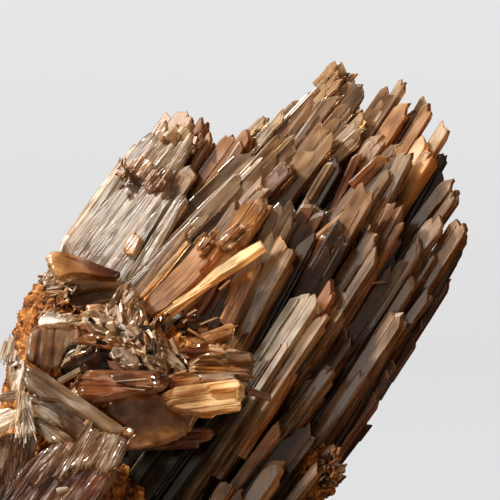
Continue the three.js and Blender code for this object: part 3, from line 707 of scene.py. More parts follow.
def bundle(bank, row, tint, parts, ragged, rust, steps, slivers, behind=False):
    """One blade: laths side by side in layers, growth steps and slivers on its face, laths on its edge."""
    x, y, z, width, thick, length, lean, turn, end = row
    chance, pick = bank.chance, bank.chance.uniform
    place = blade_place(x, y, z, lean, turn, behind)
    colour = TINTS[tint]
    seen = min(length, SEEN_LENGTH)

    def askew(most):
        rolled = Matrix.Rotation(math.radians(pick(-most, most)), 4, "Y")
        return place @ rolled @ Matrix.Rotation(math.radians(pick(-0.3, 0.3) * most), 4, "X")

    def rise_of(share):
        return end_at(end, max(-0.5, min(0.5, share))) * width

    layers = 1 if thick < 1.8 else 2 if thick < 3.6 else 3
    deep = thick / layers
    for layer in range(layers):
        shares = [pick(0.5, 1.5) for _ in range(max(1, parts - layer))]
        left = -width / 2 + (pick(-0.15, 0.35) if layer else 0.0)
        span = width / 2 + (pick(-0.25, 0.4) if layer else 0.0) - left
        for k, share in enumerate(shares):
            right = left + span * share / sum(shares)
            if layer:
                drop = pick(-0.5, 1.0 + 2.2 * layer)
            else:
                drop = ragged * pick(0, 4.5) if k else 0.0
            rim = broken_end(chance, left - 0.03, right + 0.03, lambda u: rise_of(u / width) - drop, ragged)
            bank.lath(askew(1.2 + layer), rim, -length, out=thick / 2 - (layer + 0.5) * deep - pick(0, 0.3),
                      thick=deep + 0.2, tint=shade(colour, pick(0.86, 1.12)), rust=rust * pick(0.2, 1),
                      bevel=pick(0.07, 0.2), slant=pick(-0.5, 0.25) * deep, flare=pick(0, 0.12) * deep,
                      chisel=pick(0.2, 1.1) if chance.random() < 0.7 else 0.0)
            left = right
    for _ in range(steps):
        wide = width * pick(0.2, 0.7)
        left = pick(-width / 2, width / 2 - wide)
        start = rise_of((left + wide / 2) / width) - 0.3 - pick(0.0, 0.6) * seen
        slope = pick(-0.9, 0.9)
        rim = broken_end(chance, left, left + wide, lambda u: start + slope * (u - left), ragged * 1.5)
        thin = pick(0.15, 0.5)
        finish = -length if chance.random() < 0.55 else start - pick(4, 15)
        bank.lath(askew(2.5), rim, finish, thick / 2 - thin / 2 + pick(0.03, 0.2), thin,
                  shade(colour, pick(0.85, 1.2)), rust * pick(0.2, 1), 0.06)
    for _ in range(slivers):
        wide = pick(0.08, 0.28)
        across = pick(-0.5, 0.5) * width
        start = min(-0.3, rise_of(across / width)) - pick(0.0, 0.75) * seen
        rim = [(across, start - pick(0.1, 1.2)), (across + wide * pick(0.3, 0.7), start),
               (across + wide, start - pick(0.1, 1.2))]
        # some slivers are painted pale as glints
        gleam = chance.choice((0.0, 0.0, 0.1, 0.5))
        fine = tuple(c * pick(0.75, 1.2) * (1 - gleam) + g * gleam for c, g in zip(colour, SLIVER_GLEAM))
        bank.lath(askew(1.6), rim, start - pick(3, 22), thick / 2 + pick(-0.1, 0.15), pick(0.2, 0.4),
                  fine, rust, 0.04, (0, 0))
    for _ in range(max(1, slivers // 2)):
        wide = pick(0.3, 0.9)
        start = -pick(0.02, 0.6) * seen - 0.4 * width
        rim = [(width / 2 - 0.3, start), (width / 2 + wide - 0.4, start - pick(0.2, 1.5))]
        bank.lath(askew(3), rim, -length, pick(-0.45, 0.25) * thick, thick * pick(0.12, 0.4),
                  shade(colour, pick(0.5, 1.2)), rust, 0.06, (0, 1))


def companion(bank, row, tint):
    """A blade half hidden behind one of the rows, in a darker tint that is painted shade."""
    x, y, z, width, _, length, lean, turn, _ = row
    pick = bank.chance.uniform
    side = bank.chance.choice((-1, 1)) * width * pick(0.35, 0.8)
    down = pick(3.0, 9.0)
    rise = math.radians(lean)
    at_x = x + side * math.sin(rise) - down * math.cos(rise)
    at_z = z - side * math.cos(rise) - down * math.sin(rise)
    other_end = bank.chance.choice(PLAIN_ENDS)
    other = (at_x, y + pick(2.5, 5.0), at_z, width * pick(0.5, 0.9), 1.7, length - down, lean + pick(-3, 3),
             turn + pick(-8, 8), other_end)
    bundle(bank, other, tint, 2, 0.3, 0.1, 0, 1)


def growth_lines():
    """Node group: lines, clouds, cracks and flecks that run along a blade, from its own flat coordinates."""
    tree = bpy.data.node_groups.new("growth_lines", "ShaderNodeTree")
    tree.interface.new_socket("Place", in_out="INPUT", socket_type="NodeSocketVector")
    for name in GROWTH_MARKS:
        tree.interface.new_socket(name, in_out="OUTPUT", socket_type="NodeSocketFloat")
    start, finish = tree.nodes.new("NodeGroupInput"), tree.nodes.new("NodeGroupOutput")
    for name, (wide, long, detail) in GROWTH_MARKS.items():
        stretch = tree.nodes.new("ShaderNodeVectorMath")
        stretch.operation = "MULTIPLY"
        stretch.inputs[1].default_value = (wide, long, 1.0)
        tree.links.new(start.outputs["Place"], stretch.inputs[0])
        tree.links.new(noise_node(tree, stretch.outputs[0], 1.0, detail), finish.inputs[name])
    return tree


def level(tree, value, low, high, to_low=0.0, to_high=1.0):
    """A value moved from one range to another and kept within it."""
    span = tree.nodes.new("ShaderNodeMapRange")
    span.inputs["From Min"].default_value = low
    span.inputs["From Max"].default_value = high
    span.inputs["To Min"].default_value = to_low
    span.inputs["To Max"].default_value = to_high
    tree.links.new(value, span.inputs["Value"])
    return span.outputs["Result"]


def times(tree, product, *others):
    """Values multiplied one after another, each product kept between nothing and one."""
    for other in others:
        step = tree.nodes.new("ShaderNodeMath")
        step.operation = "MULTIPLY"
        step.use_clamp = True
        set_or_link(tree, product, step.inputs[0])
        set_or_link(tree, other, step.inputs[1])
        product = step.outputs[0]
    return product


# what multiplies a blade's colour where each kind of mark is weak or strong, then a painted shade darker
# towards its root
LINE_COLOURS = [(0.28, (0.60, 0.53, 0.46)), (0.40, (1, 1, 1)), (0.58, (1, 1, 1)), (0.70, (1.26, 1.26, 1.26))]
CLOUD_COLOURS = [(0.34, (0.50, 0.38, 0.27)), (0.50, (0.95, 0.93, 0.91)), (0.64, (1.18, 1.16, 1.15))]
CRACK_COLOURS = [(0.27, (0.40, 0.30, 0.22)), (0.31, (1, 1, 1))]
FLECK_COLOURS = [(0.30, (0.78, 0.73, 0.68)), (0.40, (1, 1, 1)), (0.58, (1, 1, 1)), (0.66, (1.26, 1.27, 1.28))]
ROOT_SHADE_COLOURS = [(0.0, (0.42, 0.34, 0.27)), (1.0, (1, 1, 1))]
COOL_COLOUR = (0.96, 0.96, 0.98)
WARM_COLOUR = (1.05, 0.95, 0.79)
# what shows instead of it at its rim, a painted glow; where it is frosted or stained; and along its edges, a
# painted highlight; a dark blade shows little of the pale ones
RIM_GLOW_COLOUR = (0.62, 0.50, 0.36)
FROST_COLOUR = (0.80, 0.74, 0.66)
STAIN_COLOUR = (0.30, 0.085, 0.014)
EDGE_HIGHLIGHT_COLOUR = (0.80, 0.66, 0.48)
LIGHT_GAIN = 4.0
# half of the light passes into a crystal's shadow, warmed by it
SHADOW_COLOUR = (0.98, 0.84, 0.62)
SHADOW_CLEAR = 0.5
BARITE_IOR = 1.64
GROWTH_MARKS = {  # how closely each kind of mark is set across and along a blade, and its detail
    "Lines": (3.2, 0.020, 1.0),
    "Clouds": (0.40, 0.13, 1.5),
    "Cracks": (1.6, 0.030, 0.0),
    "Flecks": (2.2, 0.30, 4.0),
}
growth_group = growth_lines()


def barite(name, clear, side_glow_tint, tip_glow_colour, tip_glow_share, rough, flaws, edges, ripple, rim_glow_share=0.22):
    """Glassy barite with flaws and cracks; painted glow at sides, tips and rims, painted edge highlights,
    painted shade at roots.
    """
    material = bpy.data.materials.new(name)
    material.use_nodes = True
    tree = material.node_tree
    nodes, links = tree.nodes, tree.links
    crystal = nodes["Principled BSDF"]
    crystal.inputs["IOR"].default_value = BARITE_IOR
    crystal.inputs["Transmission Weight"].default_value = clear
    tint = nodes.new("ShaderNodeAttribute")
    tint.attribute_name = "tint"
    tint_parts = nodes.new("ShaderNodeSeparateColor")
    links.new(tint.outputs["Color"], tint_parts.inputs[0])
    light = times(tree, tint_parts.outputs[0], LIGHT_GAIN)
    marks = nodes.new("ShaderNodeAttribute")
    marks.attribute_name = "marks"
    mark_parts = nodes.new("ShaderNodeSeparateColor")
    links.new(marks.outputs["Color"], mark_parts.inputs[0])
    side, edge, rust = mark_parts.outputs[0], mark_parts.outputs[1], mark_parts.outputs[2]
    flat = nodes.new("ShaderNodeUVMap")
    flat.uv_map = "blade"
    flat_parts = nodes.new("ShaderNodeSeparateXYZ")
    links.new(flat.outputs[0], flat_parts.inputs[0])
    below_tip = flat_parts.outputs["Y"]
    growth = nodes.new("ShaderNodeGroup")
    growth.node_tree = growth_group
    links.new(flat.outputs[0], growth.inputs["Place"])
    clouds, flecks = growth.outputs["Clouds"], growth.outputs["Flecks"]
    where = nodes.new("ShaderNodeTexCoord")
    patches = noise_node(tree, where.outputs["Object"], 170.0)
    drift = noise_node(tree, where.outputs["Object"], 110.0, 2.0)
    broken = noise_node(tree, where.outputs["Object"], 700.0, 3.0, 0.5)

    # painted glow: the narrow sides are warmed, as light passing through them would warm them
    side_glow = mix_colour(tree, 1.0, tint.outputs["Color"], side_glow_tint, "MULTIPLY")
    colour = mix_colour(tree, side, tint.outputs["Color"], side_glow)
    # painted glow of light through the thin rims
    colour = mix_colour(tree, times(tree, marks.outputs["Alpha"], rim_glow_share, light), colour, RIM_GLOW_COLOUR)
    # painted glow of light through the thin tip, over its last 5 mm
    tip = level(tree, below_tip, -5.0, 0.0)
    colour = mix_colour(tree, times(tree, tip, tip_glow_share, light), colour, tip_glow_colour)
    for value, stops in (
        (growth.outputs["Lines"], LINE_COLOURS),
        (clouds, CLOUD_COLOURS),
        (growth.outputs["Cracks"], CRACK_COLOURS),
        (flecks, FLECK_COLOURS),
        # painted shade: darker towards the root
        (level(tree, below_tip, -30.0, -3.0), ROOT_SHADE_COLOURS),
    ):
        colour = mix_colour(tree, 1.0, colour, ramp_node(tree, value, stops), "MULTIPLY")
    cool = mix_colour(tree, 1.0, colour, COOL_COLOUR, "MULTIPLY")
    warm = mix_colour(tree, 1.0, colour, WARM_COLOUR, "MULTIPLY")
    colour = mix_colour(tree, level(tree, drift, 0.42, 0.58), cool, warm)
    frost = times(tree, level(tree, clouds, 0.52, 0.68), level(tree, flecks, 0.40, 0.60, 0.2, 1.0))
    colour = mix_colour(tree, times(tree, frost, flaws, light), colour, FROST_COLOUR)
    colour = mix_colour(tree, times(tree, level(tree, patches, 0.52, 0.62), rust), colour, STAIN_COLOUR)
    # painted highlight along the edges marked on the facets
    colour = mix_colour(tree, times(tree, edge, edges, light), colour, EDGE_HIGHLIGHT_COLOUR)
    links.new(colour, crystal.inputs["Base Color"])

    dull = nodes.new("ShaderNodeMath")
    dull.operation = "MULTIPLY_ADD"
    dull.inputs[1].default_value = 0.35
    links.new(edge, dull.inputs[0])
    links.new(level(tree, clouds, 0.35, 0.65, rough * 0.8, rough * 2.0), dull.inputs[2])
    links.new(dull.outputs[0], crystal.inputs["Roughness"])
    uneven = bump_node(tree, broken, ripple, 0.25 * MM)
    fine = bump_node(tree, flecks, 0.10, 0.15 * MM)
    links.new(uneven.outputs[0], fine.inputs["Normal"])
    links.new(fine.outputs[0], crystal.inputs["Normal"])

    rays = nodes.new("ShaderNodeLightPath")
    through = nodes.new("ShaderNodeBsdfTransparent")
    through.inputs["Color"].default_value = (*SHADOW_COLOUR, 1)
    blend = nodes.new("ShaderNodeMixShader")
    links.new(times(tree, rays.outputs["Is Shadow Ray"], SHADOW_CLEAR), blend.inputs[0])
    links.new(crystal.outputs[0], blend.inputs[1])
    links.new(through.outputs[0], blend.inputs[2])
    links.new(blend.outputs[0], nodes["Material Output"].inputs["Surface"])
    return material


SHEAF = [  # tip x, y, z, width, thickness, length, lean, turn, end, tint
    # ridge, from its top down to the left
    (31.4, 5, 109.3, 8, 5, 66, 46.5, 9, "saw", "t"),
    (33.4, 2.6, 107.2, 3, 2.6, 40, 50, 10, "slopeRight", "q"),
    (28.8, 3.6, 111, 4.8, 3, 6.4, 47, 12, "slopeRight", "p"),
    (31.6, 5.5, 110.2, 1, 1.2, 12, 50, 10, "spike", "h"),
    (25.2, 7, 106.8, 4, 4, 60, 46.5, 2, "slopeRight", "t"),
    (21.4, 8, 103.6, 4.6, 4, 58, 43, 2, "slopeRight", "m"),
    (15.4, 9, 98.8, 4.6, 4, 50, 42, 11, "slopeRight", "t"),
    (13, 7.2, 100.9, 1.4, 2, 8, 44, 15, "flat", "w"),
    (8.9, 3, 98.1, 5.2, 3.4, 50, 54, 20, "stepLeft", "o"),
    (8.3, 0.6, 95.2, 1.8, 1.4, 12, 57, 12, "round", "p"),
    # in front of the ridge
    (27, 0.6, 105.2, 2.6, 2, 30, 54, 14, "peak", "m"),
    (24.2, 1.6, 104.6, 2.8, 2.4, 32, 54, 14, "slopeLeft", "m"),
    (17, 3.2, 101.8, 1.6, 2, 8, 52, 18, "flat", "w"),
    (21.6, 1.6, 100.3, 1.8, 1.6, 14, 52, 18, "flat", "w"),
    (30.8, -1, 102.4, 5, 3.2, 44, 50, 16, "stepRight", "t"),
    (33, -2.4, 101, 1.8, 1.6, 22, 46, 20, "peak", "p"),
    (33.2, -4, 98.2, 2.8, 1.8, 18, 43, 14, "stepRight", "g"),
    (26.4, -5, 98, 5.4, 3.6, 36, 52, 16, "round", "e"),
    (19.4, -4.5, 97, 6.2, 3.4, 54, 47, 5, "peak", "t"),
    (14.6, -4.8, 94.6, 1.8, 2.4, 50, 46, 9, "flat", "g"),
    (12.2, -5.6, 92.6, 1.6, 1.2, 9, 46, 24, "flat", "i"),
    (10.9, -4, 92.2, 2, 2.2, 46, 45, 9, "flat", "g"),
    (8.6, -5.4, 88.6, 3.2, 2.6, 44, 46, 11, "slopeRight", "g"),
    (18.4, -7.6, 90.9, 3.4, 3.8, 42, 47, 24, "flat", "b"),
    (14, -9, 86.8, 4.6, 3.6, 40, 48, 24, "stepRight", "t"),
    # the middle
    (26.2, -8, 91.6, 1.4, 1.6, 24, 59, 15, "peak", "g"),
    (28.4, -6, 92, 2.6, 3, 30, 60, 20, "slopeRight", "d"),
    (31.8, -6.5, 93.4, 1.6, 1.8, 24, 66, 8, "peak", "r"),
    (36.6, -4, 97, 3.8, 3.4, 9, 55, 24, "peak", "m"),
    (36.8, -8, 93, 2, 1.8, 9, 44, 0, "peak", "a"),
    (40.4, -6.5, 94.8, 3.4, 2.4, 34, 48, 22, "stepRight", "m"),
    (38.1, -9.4, 90, 1.9, 2.2, 26, 56, 20, "peak", "t"),
    (41.6, -8.4, 93.4, 2.8, 2.6, 48, 63, 24, "round", "g"),
    (39.6, -9.4, 84, 4.6, 2.8, 40, 62, 26, "slopeLeft", "t"),
    (40.3, -11, 79.3, 1.4, 1.8, 30, 59, 20, "peak", "h"),
    (36, -14, 76.7, 5.4, 3.6, 48, 57, 24, "stepRight", "m"),
    (33.9, -14.4, 86.2, 4, 3.8, 40, 60, 18, "saw", "t"),
    (31.9, -14, 84.3, 1, 1.4, 14, 42, 15, "flat", "p"),
    (28.4, -10.4, 79.6, 5.6, 3, 40, 60, 4, "round", "b"),
    (29.2, -17.2, 79.2, 4.6, 1.4, 20, 60, 0, "stepRight", "d"),
    (44.4, -9, 75.6, 2.6, 1.8, 26, 58, 22, "slopeRight", "m"),
    (41.6, -9.2, 72.4, 2.4, 1.8, 26, 57, 18, "peak", "t"),
    (43, -9.4, 68.6, 2.2, 1.6, 22, 58, 22, "slopeRight", "m"),
    (47, -6.6, 74, 2.8, 2.2, 36, 57, 24, "slopeRight", "t"),
    (38.6, -9.6, 70.2, 2.6, 1.8, 24, 58, 12, "round", "b"),
    # right shoulder
    (38.6, 2, 106, 3.4, 3.4, 54, 55, 15, "round", "t"),
    (41.2, 1, 108.1, 1.8, 2.2, 50, 57, 20, "round", "p"),
    (42, 0, 103.6, 3.2, 2.8, 50, 56, 22, "slopeRight", "h"),
    (43.6, 2.4, 102.2, 2, 3.2, 50, 56, 15, "peak", "b"),
    (45.7, 3.4, 104.7, 1.9, 1.6, 30, 60, 10, "round", "p"),
    (46.6, 0, 103.1, 2.4, 2.4, 40, 58, 20, "slopeRight", "h"),
    (49.9, -1, 99.2, 2.4, 2.8, 46, 58, 24, "round", "p"),
    (46.9, -2.4, 95.8, 5.2, 3.4, 56, 57, 26, "slopeRight", "c"),
    (49.2, 3.4, 93.2, 2, 4, 40, 60, 5, "saw", "d"),
    (49.4, 2.4, 89.6, 2.6, 4, 44, 61, 5, "stepRight", "d"),
    (50.6, -3.4, 87.8, 2.6, 2.6, 42, 53, 24, "flat", "m"),
    (51.8, -4.2, 85.7, 2, 2.8, 42, 55, 24, "stepRight", "t"),
    (48.4, -7, 80.5, 3.6, 2.6, 50, 53, 24, "slopeLeft", "m"),
    (52.9, -4.6, 79, 3.8, 4.4, 66, 57.5, 24, "flat", "t"),
    (52.8, -2, 75.6, 2.4, 4, 24, 60.5, 10, "round", "d"),
    # right flank, down to the foot
    (49.9, -1, 68.2, 2.4, 3.4, 28, 58, 10, "stepRight", "b"),
    (46, -8, 65.4, 2, 2.2, 34, 54, 22, "peak", "m"),
    (45.5, -2, 61.4, 2.8, 4, 34, 57, 14, "stepRight", "b"),
    (43.8, 0, 59, 2.6, 4.4, 44, 56, 8, "stepRight", "d"),
    (40, -12, 61.4, 4, 3.2, 46, 57, 24, "round", "t"),
    (39.3, -3, 51.3, 2, 3.4, 46, 54, 5, "stepRight", "b"),
    (38, -5, 49.4, 1.8, 3, 40, 54, 5, "flat", "r"),
    (35.1, -6, 45, 2.8, 3.6, 36, 54, 10, "flat", "r"),
    (33.1, -13, 50, 2, 2.2, 40, 56, 24, "flat", "m"),
    (30.2, -12, 57.2, 3.6, 3.4, 40, 55, 20, "round", "b"),
    (26.4, -16, 50.8, 2.8, 2.8, 40, 53, 24, "round", "m"),
    (28.2, -16, 62.4, 2.6, 2.8, 46, 55, 26, "round", "t"),
    (24.4, -20.6, 60.8, 2.4, 2, 38, 56, 24, "peak", "p"),
    (22.6, -20, 66, 5.6, 3, 50, 57, 26, "slopeLeft", "v"),
    (26.9, -16.6, 67, 3.2, 3.2, 44, 58, 24, "slopeRight", "a"),
    # front plates and the blades below them
    (18.4, -14, 83.6, 5.2, 3, 50, 62, 10, "peak", "u"),
    (12.6, -15, 84.6, 4.8, 2.8, 36, 56, 14, "slopeLeft", "h"),
    (23.2, -11.6, 82.9, 5.2, 3, 46, 60, 8, "round", "b"),
    (18, -18, 75.6, 4.4, 3, 60, 62, 22, "slopeRight", "p"),
    (22.4, -16, 77.2, 2.6, 2.8, 44, 62, 22, "slopeLeft", "d"),
    (25.2, -15, 76.4, 1.9, 2.6, 40, 64, 10, "flat", "a"),
    (11.4, -17, 73.6, 5.8, 3, 50, 62, 12, "peak", "a"),
    (23, -13, 50, 4, 2.4, 30, 54, 14, "slopeRight", "t"),
    (16.2, -20, 52.2, 2.4, 1.8, 20, 60, 18, "flat", "h"),
    (18.4, -20, 50.3, 2.2, 2.2, 20, 58, 18, "slopeRight", "h"),
    (15.8, -19, 39, 2.2, 2, 28, 53, 12, "round", "h"),
    (21.6, -17, 38.4, 5.4, 3.2, 30, 53, 14, "stepLeft", "d"),
    (26.8, -15, 35.3, 1.9, 2.2, 28, 52, 22, "round", "m"),
    (23.6, -17, 31, 1.9, 2.2, 24, 52, 22, "round", "m"),
    (16.4, -21, 32.6, 3.2, 2.8, 28, 54, 24, "peak", "p"),
    (6, -23, 28.2, 2.6, 2.6, 22, 54, 20, "round", "p"),
    (9.2, -22, 26.4, 2.6, 2.6, 20, 52, 20, "stepRight", "t"),
    (3.6, -18, 33.6, 3.8, 3, 34, 52, 12, "flat", "d"),
    # in the shade under the front crystals, blades painted near black as that shade
    (8, -22.6, 47, 5, 3, 36, 54, 16, "flat", "k"),
    (1.5, -23.6, 44, 5, 3.6, 32, 54, 16, "flat", "k"),
    (-4.5, -24.4, 42, 5, 4.4, 28, 54, 16, "flat", "k"),
    # honey spray
    (7.6, -20, 76.6, 4, 3.2, 26, 50, 15, "round", "c"),
]
SPRAY_PLATES = [  # outline, depth, leans right and up, thickness, tint, grain
    ([(-6, 62.6), (-1.5, 66.2), (3, 70.4), (8, 73.9), (12, 76), (12.7, 74.7), (9, 72), (5.5, 69.8),
      (1, 66.8), (-2.5, 64.2), (-5.8, 61.6)], -26, (-0.2, 0.5), 2, "y", 33),
    ([(-11, 63), (-10, 65.4), (-7, 68.1), (-3.6, 71.6), (0, 76), (0.6, 76.7), (2, 76.5), (3.7, 75),
      (2.4, 73.2), (1.3, 71.4), (0.3, 70), (0.3, 69), (-1, 67.6), (-2.4, 66.2), (-6.5, 62.6), (-9.5, 61)],
     -24, (-0.3, 0.25), 3.6, "h", 45),
    ([(-12.8, 65), (-12.2, 66.8), (-8, 72.4), (-3.6, 78), (-2.6, 77.6), (-2.9, 76.2), (-7.4, 70.4),
      (-11.6, 64.8)], -22, (-0.2, 0.3), 2.4, "t", 51),
    ([(-12, 64.8), (-7, 71), (-2.6, 75.6), (-1.9, 75.4), (-6.6, 69.4), (-11, 64.4)],
     -22.8, (-0.2, 0.3), 1, "c", 50),
    ([(-10.6, 70), (-6.4, 74.8), (-2.2, 79.4), (-1.2, 79), (-5.6, 73.6), (-10, 69)],
     -17, (-0.2, 0.3), 1.4, "g", 51),
    ([(4, 60), (5, 64), (6.3, 68.2), (9, 72.2), (11.5, 73.7), (12.1, 71), (10.6, 68), (8.2, 63),
      (6.2, 58.2)], -20.5, (-0.2, 0.3), 2.6, "h", 62),
    ([(-9, 61), (-4, 65.2), (2, 69.2), (8, 71.2), (8.7, 66), (7.2, 61), (5, 56.2), (1, 55.6), (-4, 57.8),
      (-8, 58.8)], -17.6, (-0.1, 0.2), 2.4, "a", 60),
    ([(-5, 60), (-1, 64.2), (3.4, 69.2), (4.6, 69), (2, 64), (-1.4, 59.4)],
     -19.6, (-0.1, 0.2), 1.2, "a", 58),
    ([(0, 57.4), (3.4, 63.2), (6.6, 69), (8, 68.4), (5.6, 62), (2.6, 56.4)],
     -19.4, (-0.1, 0.2), 1.2, "q", 61),
    ([(-1.6, 56.6), (1, 57.9), (6.3, 59.8), (7, 59.2), (6.5, 57.5), (2, 55.8), (-0.6, 55.2)],
     -26, (0, 0.5), 1.6, "h", 18),
    ([(2.8, 75.2), (5, 77.8), (8.4, 79.4), (9.6, 78.2), (8.4, 75.6), (5, 73.8)],
     -22, (-0.3, 0.4), 2.4, "e", 45),
]
SHEAF_BACK = [  # rows as in SHEAF, then how many laths make the blade
    (3.5, 14, 92, 8, 5, 40, 52, -18, "stepLeft", "t", 4),
    (10, 18, 90.5, 7, 5, 44, 50, -22, "peak", "m", 4),
    (14.6, 15, 96.4, 6, 5, 44, 47, -18, "slopeRight", "t", 3),
    (20, 19, 95, 7.4, 5, 48, 48, -20, "stepRight", "g", 4),
    (26, 15, 104.6, 8, 6, 50, 48, -16, "peak", "t", 4),
    (29.6, 20, 98, 6.4, 5, 50, 50, -22, "slopeLeft", "m", 4),
    (34.4, 14, 102.8, 7, 5, 50, 52, -16, "saw", "t", 4),
    (36.8, 19, 93, 7, 5, 50, 54, -20, "stepRight", "t", 4),
    (41, 13, 97.6, 6, 5, 50, 56, -16, "slopeRight", "h", 3),
    (43.6, 17, 87.4, 6.6, 5, 50, 57, -18, "peak", "t", 4),
    (46.6, 11, 89.8, 6, 5, 50, 58, -14, "stepLeft", "b", 3),
    (46.4, 15, 76.6, 7, 5, 50, 57, -18, "slopeLeft", "t", 4),
    (43.2, 14, 64.6, 7, 5, 46, 56, -16, "stepRight", "b", 4),
    (34.6, 12, 50, 7, 5, 38, 54, -16, "slopeRight", "b", 4),
    (30.6, 15, 70, 8, 6, 48, 55, -24, "stepRight", "m", 4),
    (22, 20, 80.4, 8, 6, 50, 52, -24, "peak", "t", 4),
    (9.4, 20, 76, 9, 6, 46, 50, -24, "slopeRight", "g", 4),
    (32, 18, 56.6, 8, 6, 40, 54, -24, "slopeLeft", "t", 4),
    (18, 21, 60.6, 9, 6, 40, 52, -26, "stepRight", "t", 4),
]
SHEAF_RIGHT = [  # blades over the right side of the mass, rows as in SHEAF_BACK
    (39, 8.5, 98, 4, 5, 40, 55, -8, "peak", "t", 2),
    (47, 6.5, 80, 4, 5, 44, 57, -6, "stepRight", "b", 2),
    (43.5, 8.5, 66, 4, 5, 44, 56, -6, "slopeRight", "b", 2),
    (37.5, 7.5, 52, 4, 5, 36, 55, -6, "peak", "r", 2),
]
SHEAF_MASS = [  # front, back and outline of what the blades are fused into
    (-14, -7, [(-8.5, 58), (-9.4, 64), (-4.2, 71.6), (2, 73), (7, 69.4), (7, 64), (6.2, 58.6), (-1.8, 56)]),
    (-9.6, -7, [(-1.4, 30), (2.6, 43.6), (10.4, 55.2), (22, 61), (29.8, 57.4), (25, 46), (17, 34.4),
      (11.4, 23), (2.4, 21)]),
    (-15, -11, [(-11.2, 26.2), (-5.4, 41.4), (2, 49), (7.6, 47), (12, 40), (11, 25), (2, 19.4), (-7.4, 21)]),
    (-8, 16, [(-19, 9), (-24, 40), (-13, 62), (2, 73), (16, 79), (30, 79), (39, 73), (39, 62), (31, 46),
      (21, 30), (13, 9)]),
    (5, 15, [(-9, 60), (2, 82), (12, 88), (24, 96), (33, 96), (38, 91), (42, 83), (44, 70), (35, 60)]),
]
SHEAF_CHIPS = [  # outline, count, depth, tints, then sizes, way, spread, tip and slimness where they differ
    ([(3, 74.5), (6, 78.6), (9.6, 79), (9, 75)], 18, -23.6, "chcp", (1.8, 4.6), 45, 8, 0.3, (0.08, 0.18)),
    ([(-1, 76), (2.5, 77.6), (3.6, 75), (0.6, 73)], 16, -26, "ahe", (1.2, 3.4), 48, 14, 0.4, (0.1, 0.25)),
    ([(-9, 60.6), (-3, 62), (1, 60.5), (2, 57), (-3, 56), (-9, 58)],
     30, -24.5, "odkdr", (0.6, 2.4), 30, 70, 0.7, (0.3, 0.5)),
    ([(23.6, 26), (24.4, 33), (27.4, 34), (28.6, 30.6), (27, 27)],
     60, -16.4, "ordbk", (0.6, 2.6), 40, 60, 0.8),
]
SHEAF_SPLINTERS = [  # start, finish, width, depth, tint
    ((0.3, 59.5), (3.7, 60.9), 0.35, -27, "p"),
    ((4, 66.3), (6.2, 68.2), 0.4, -27, "c"),
    ((-2.3, 61.3), (-0.4, 62.4), 0.35, -27, "p"),
    ((-3.1, 59.8), (-2.3, 60.5), 0.4, -27, "w"),
    ((-8, 69), (-1.6, 75.6), 0.4, -22.6, "w"),
    ((34.2, 67.4), (37, 67.8), 0.3, -13, "w"),
]
sheaf_barite = barite("brown_barite", clear=0.35, side_glow_tint=(1.15, 0.80, 0.50), tip_glow_colour=(0.52, 0.34, 0.18),
                      tip_glow_share=0.30, rough=0.13, flaws=0.22, edges=0.20, ripple=0.06, rim_glow_share=0.13)
sheaf = Blades(11)
for *row, tint in SHEAF:
    x, y, z, width = row[:4]
    parts, steps, slivers = 1 + int(width / 4.6), 1 + int(width / 3.2), 1 + int(width / 2.6)
    bundle(sheaf, row, tint, parts, 0.16, 0.15, steps, slivers)
    # companions take darker tints, painted as the shade behind the rows
    if width > 2.5 and y < 2 and x < 43:
        if z < 60 and x < 30:
            shaded = "q"
        else:
            shaded = "d" if z < 84 or x > 30 else "u"
        companion(sheaf, row, shaded)
for *row, tint, parts in SHEAF_BACK:
    bundle(sheaf, row, tint, parts, 0.5, 0.15, 4, 6, behind=True)
# the mass and the fine laths over its front are painted dark, as the shade between the blades
mass_shade = TINTS["d"]
for front, back, outline in SHEAF_MASS:
    first, count = len(sheaf.points), len(outline)
    sheaf.points += [Vector((x, y, z)) * MM for y in (front, back) for x, z in outline]
    deep = back - front
    side_places = [(0, 0), (deep, 0), (deep, MASS_GRAIN), (0, MASS_GRAIN)]
    for k in range(count):
        after = (k + 1) % count
        corners = [first + k, first + count + k, first + count + after, first + after]
        sheaf.face(corners, mass_shade, PLAIN_FACE, side_places)
    sheaf.face([first + k for k in range(count)], mass_shade, PLAIN_FACE, outline)
    sheaf.face([first + count + k for k in reversed(range(count))], mass_shade, PLAIN_FACE, outline[::-1])
for front, _, outline in SHEAF_MASS:
    sheaf.feathers(outline, 170, front - 0.4, (0, 0), "qqbuqd", 55, (5, 18), (0.5, 1.8))
for row in SPRAY_PLATES:
    sheaf.plate(row, 14, 0.15)
for row in SHEAF_CHIPS:
    sheaf.chips(*row)
for row in SHEAF_SPLINTERS:
    sheaf.splinter(*row)
for *row, tint, parts in SHEAF_RIGHT:
    bundle(sheaf, row, tint, parts, 0.5, 0.15, 2, 3, behind=True)
sheaf_piece = sheaf.build("sheaf_of_blades", sheaf_barite)
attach(sheaf_piece, "root")
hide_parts("crystal_sheaf")

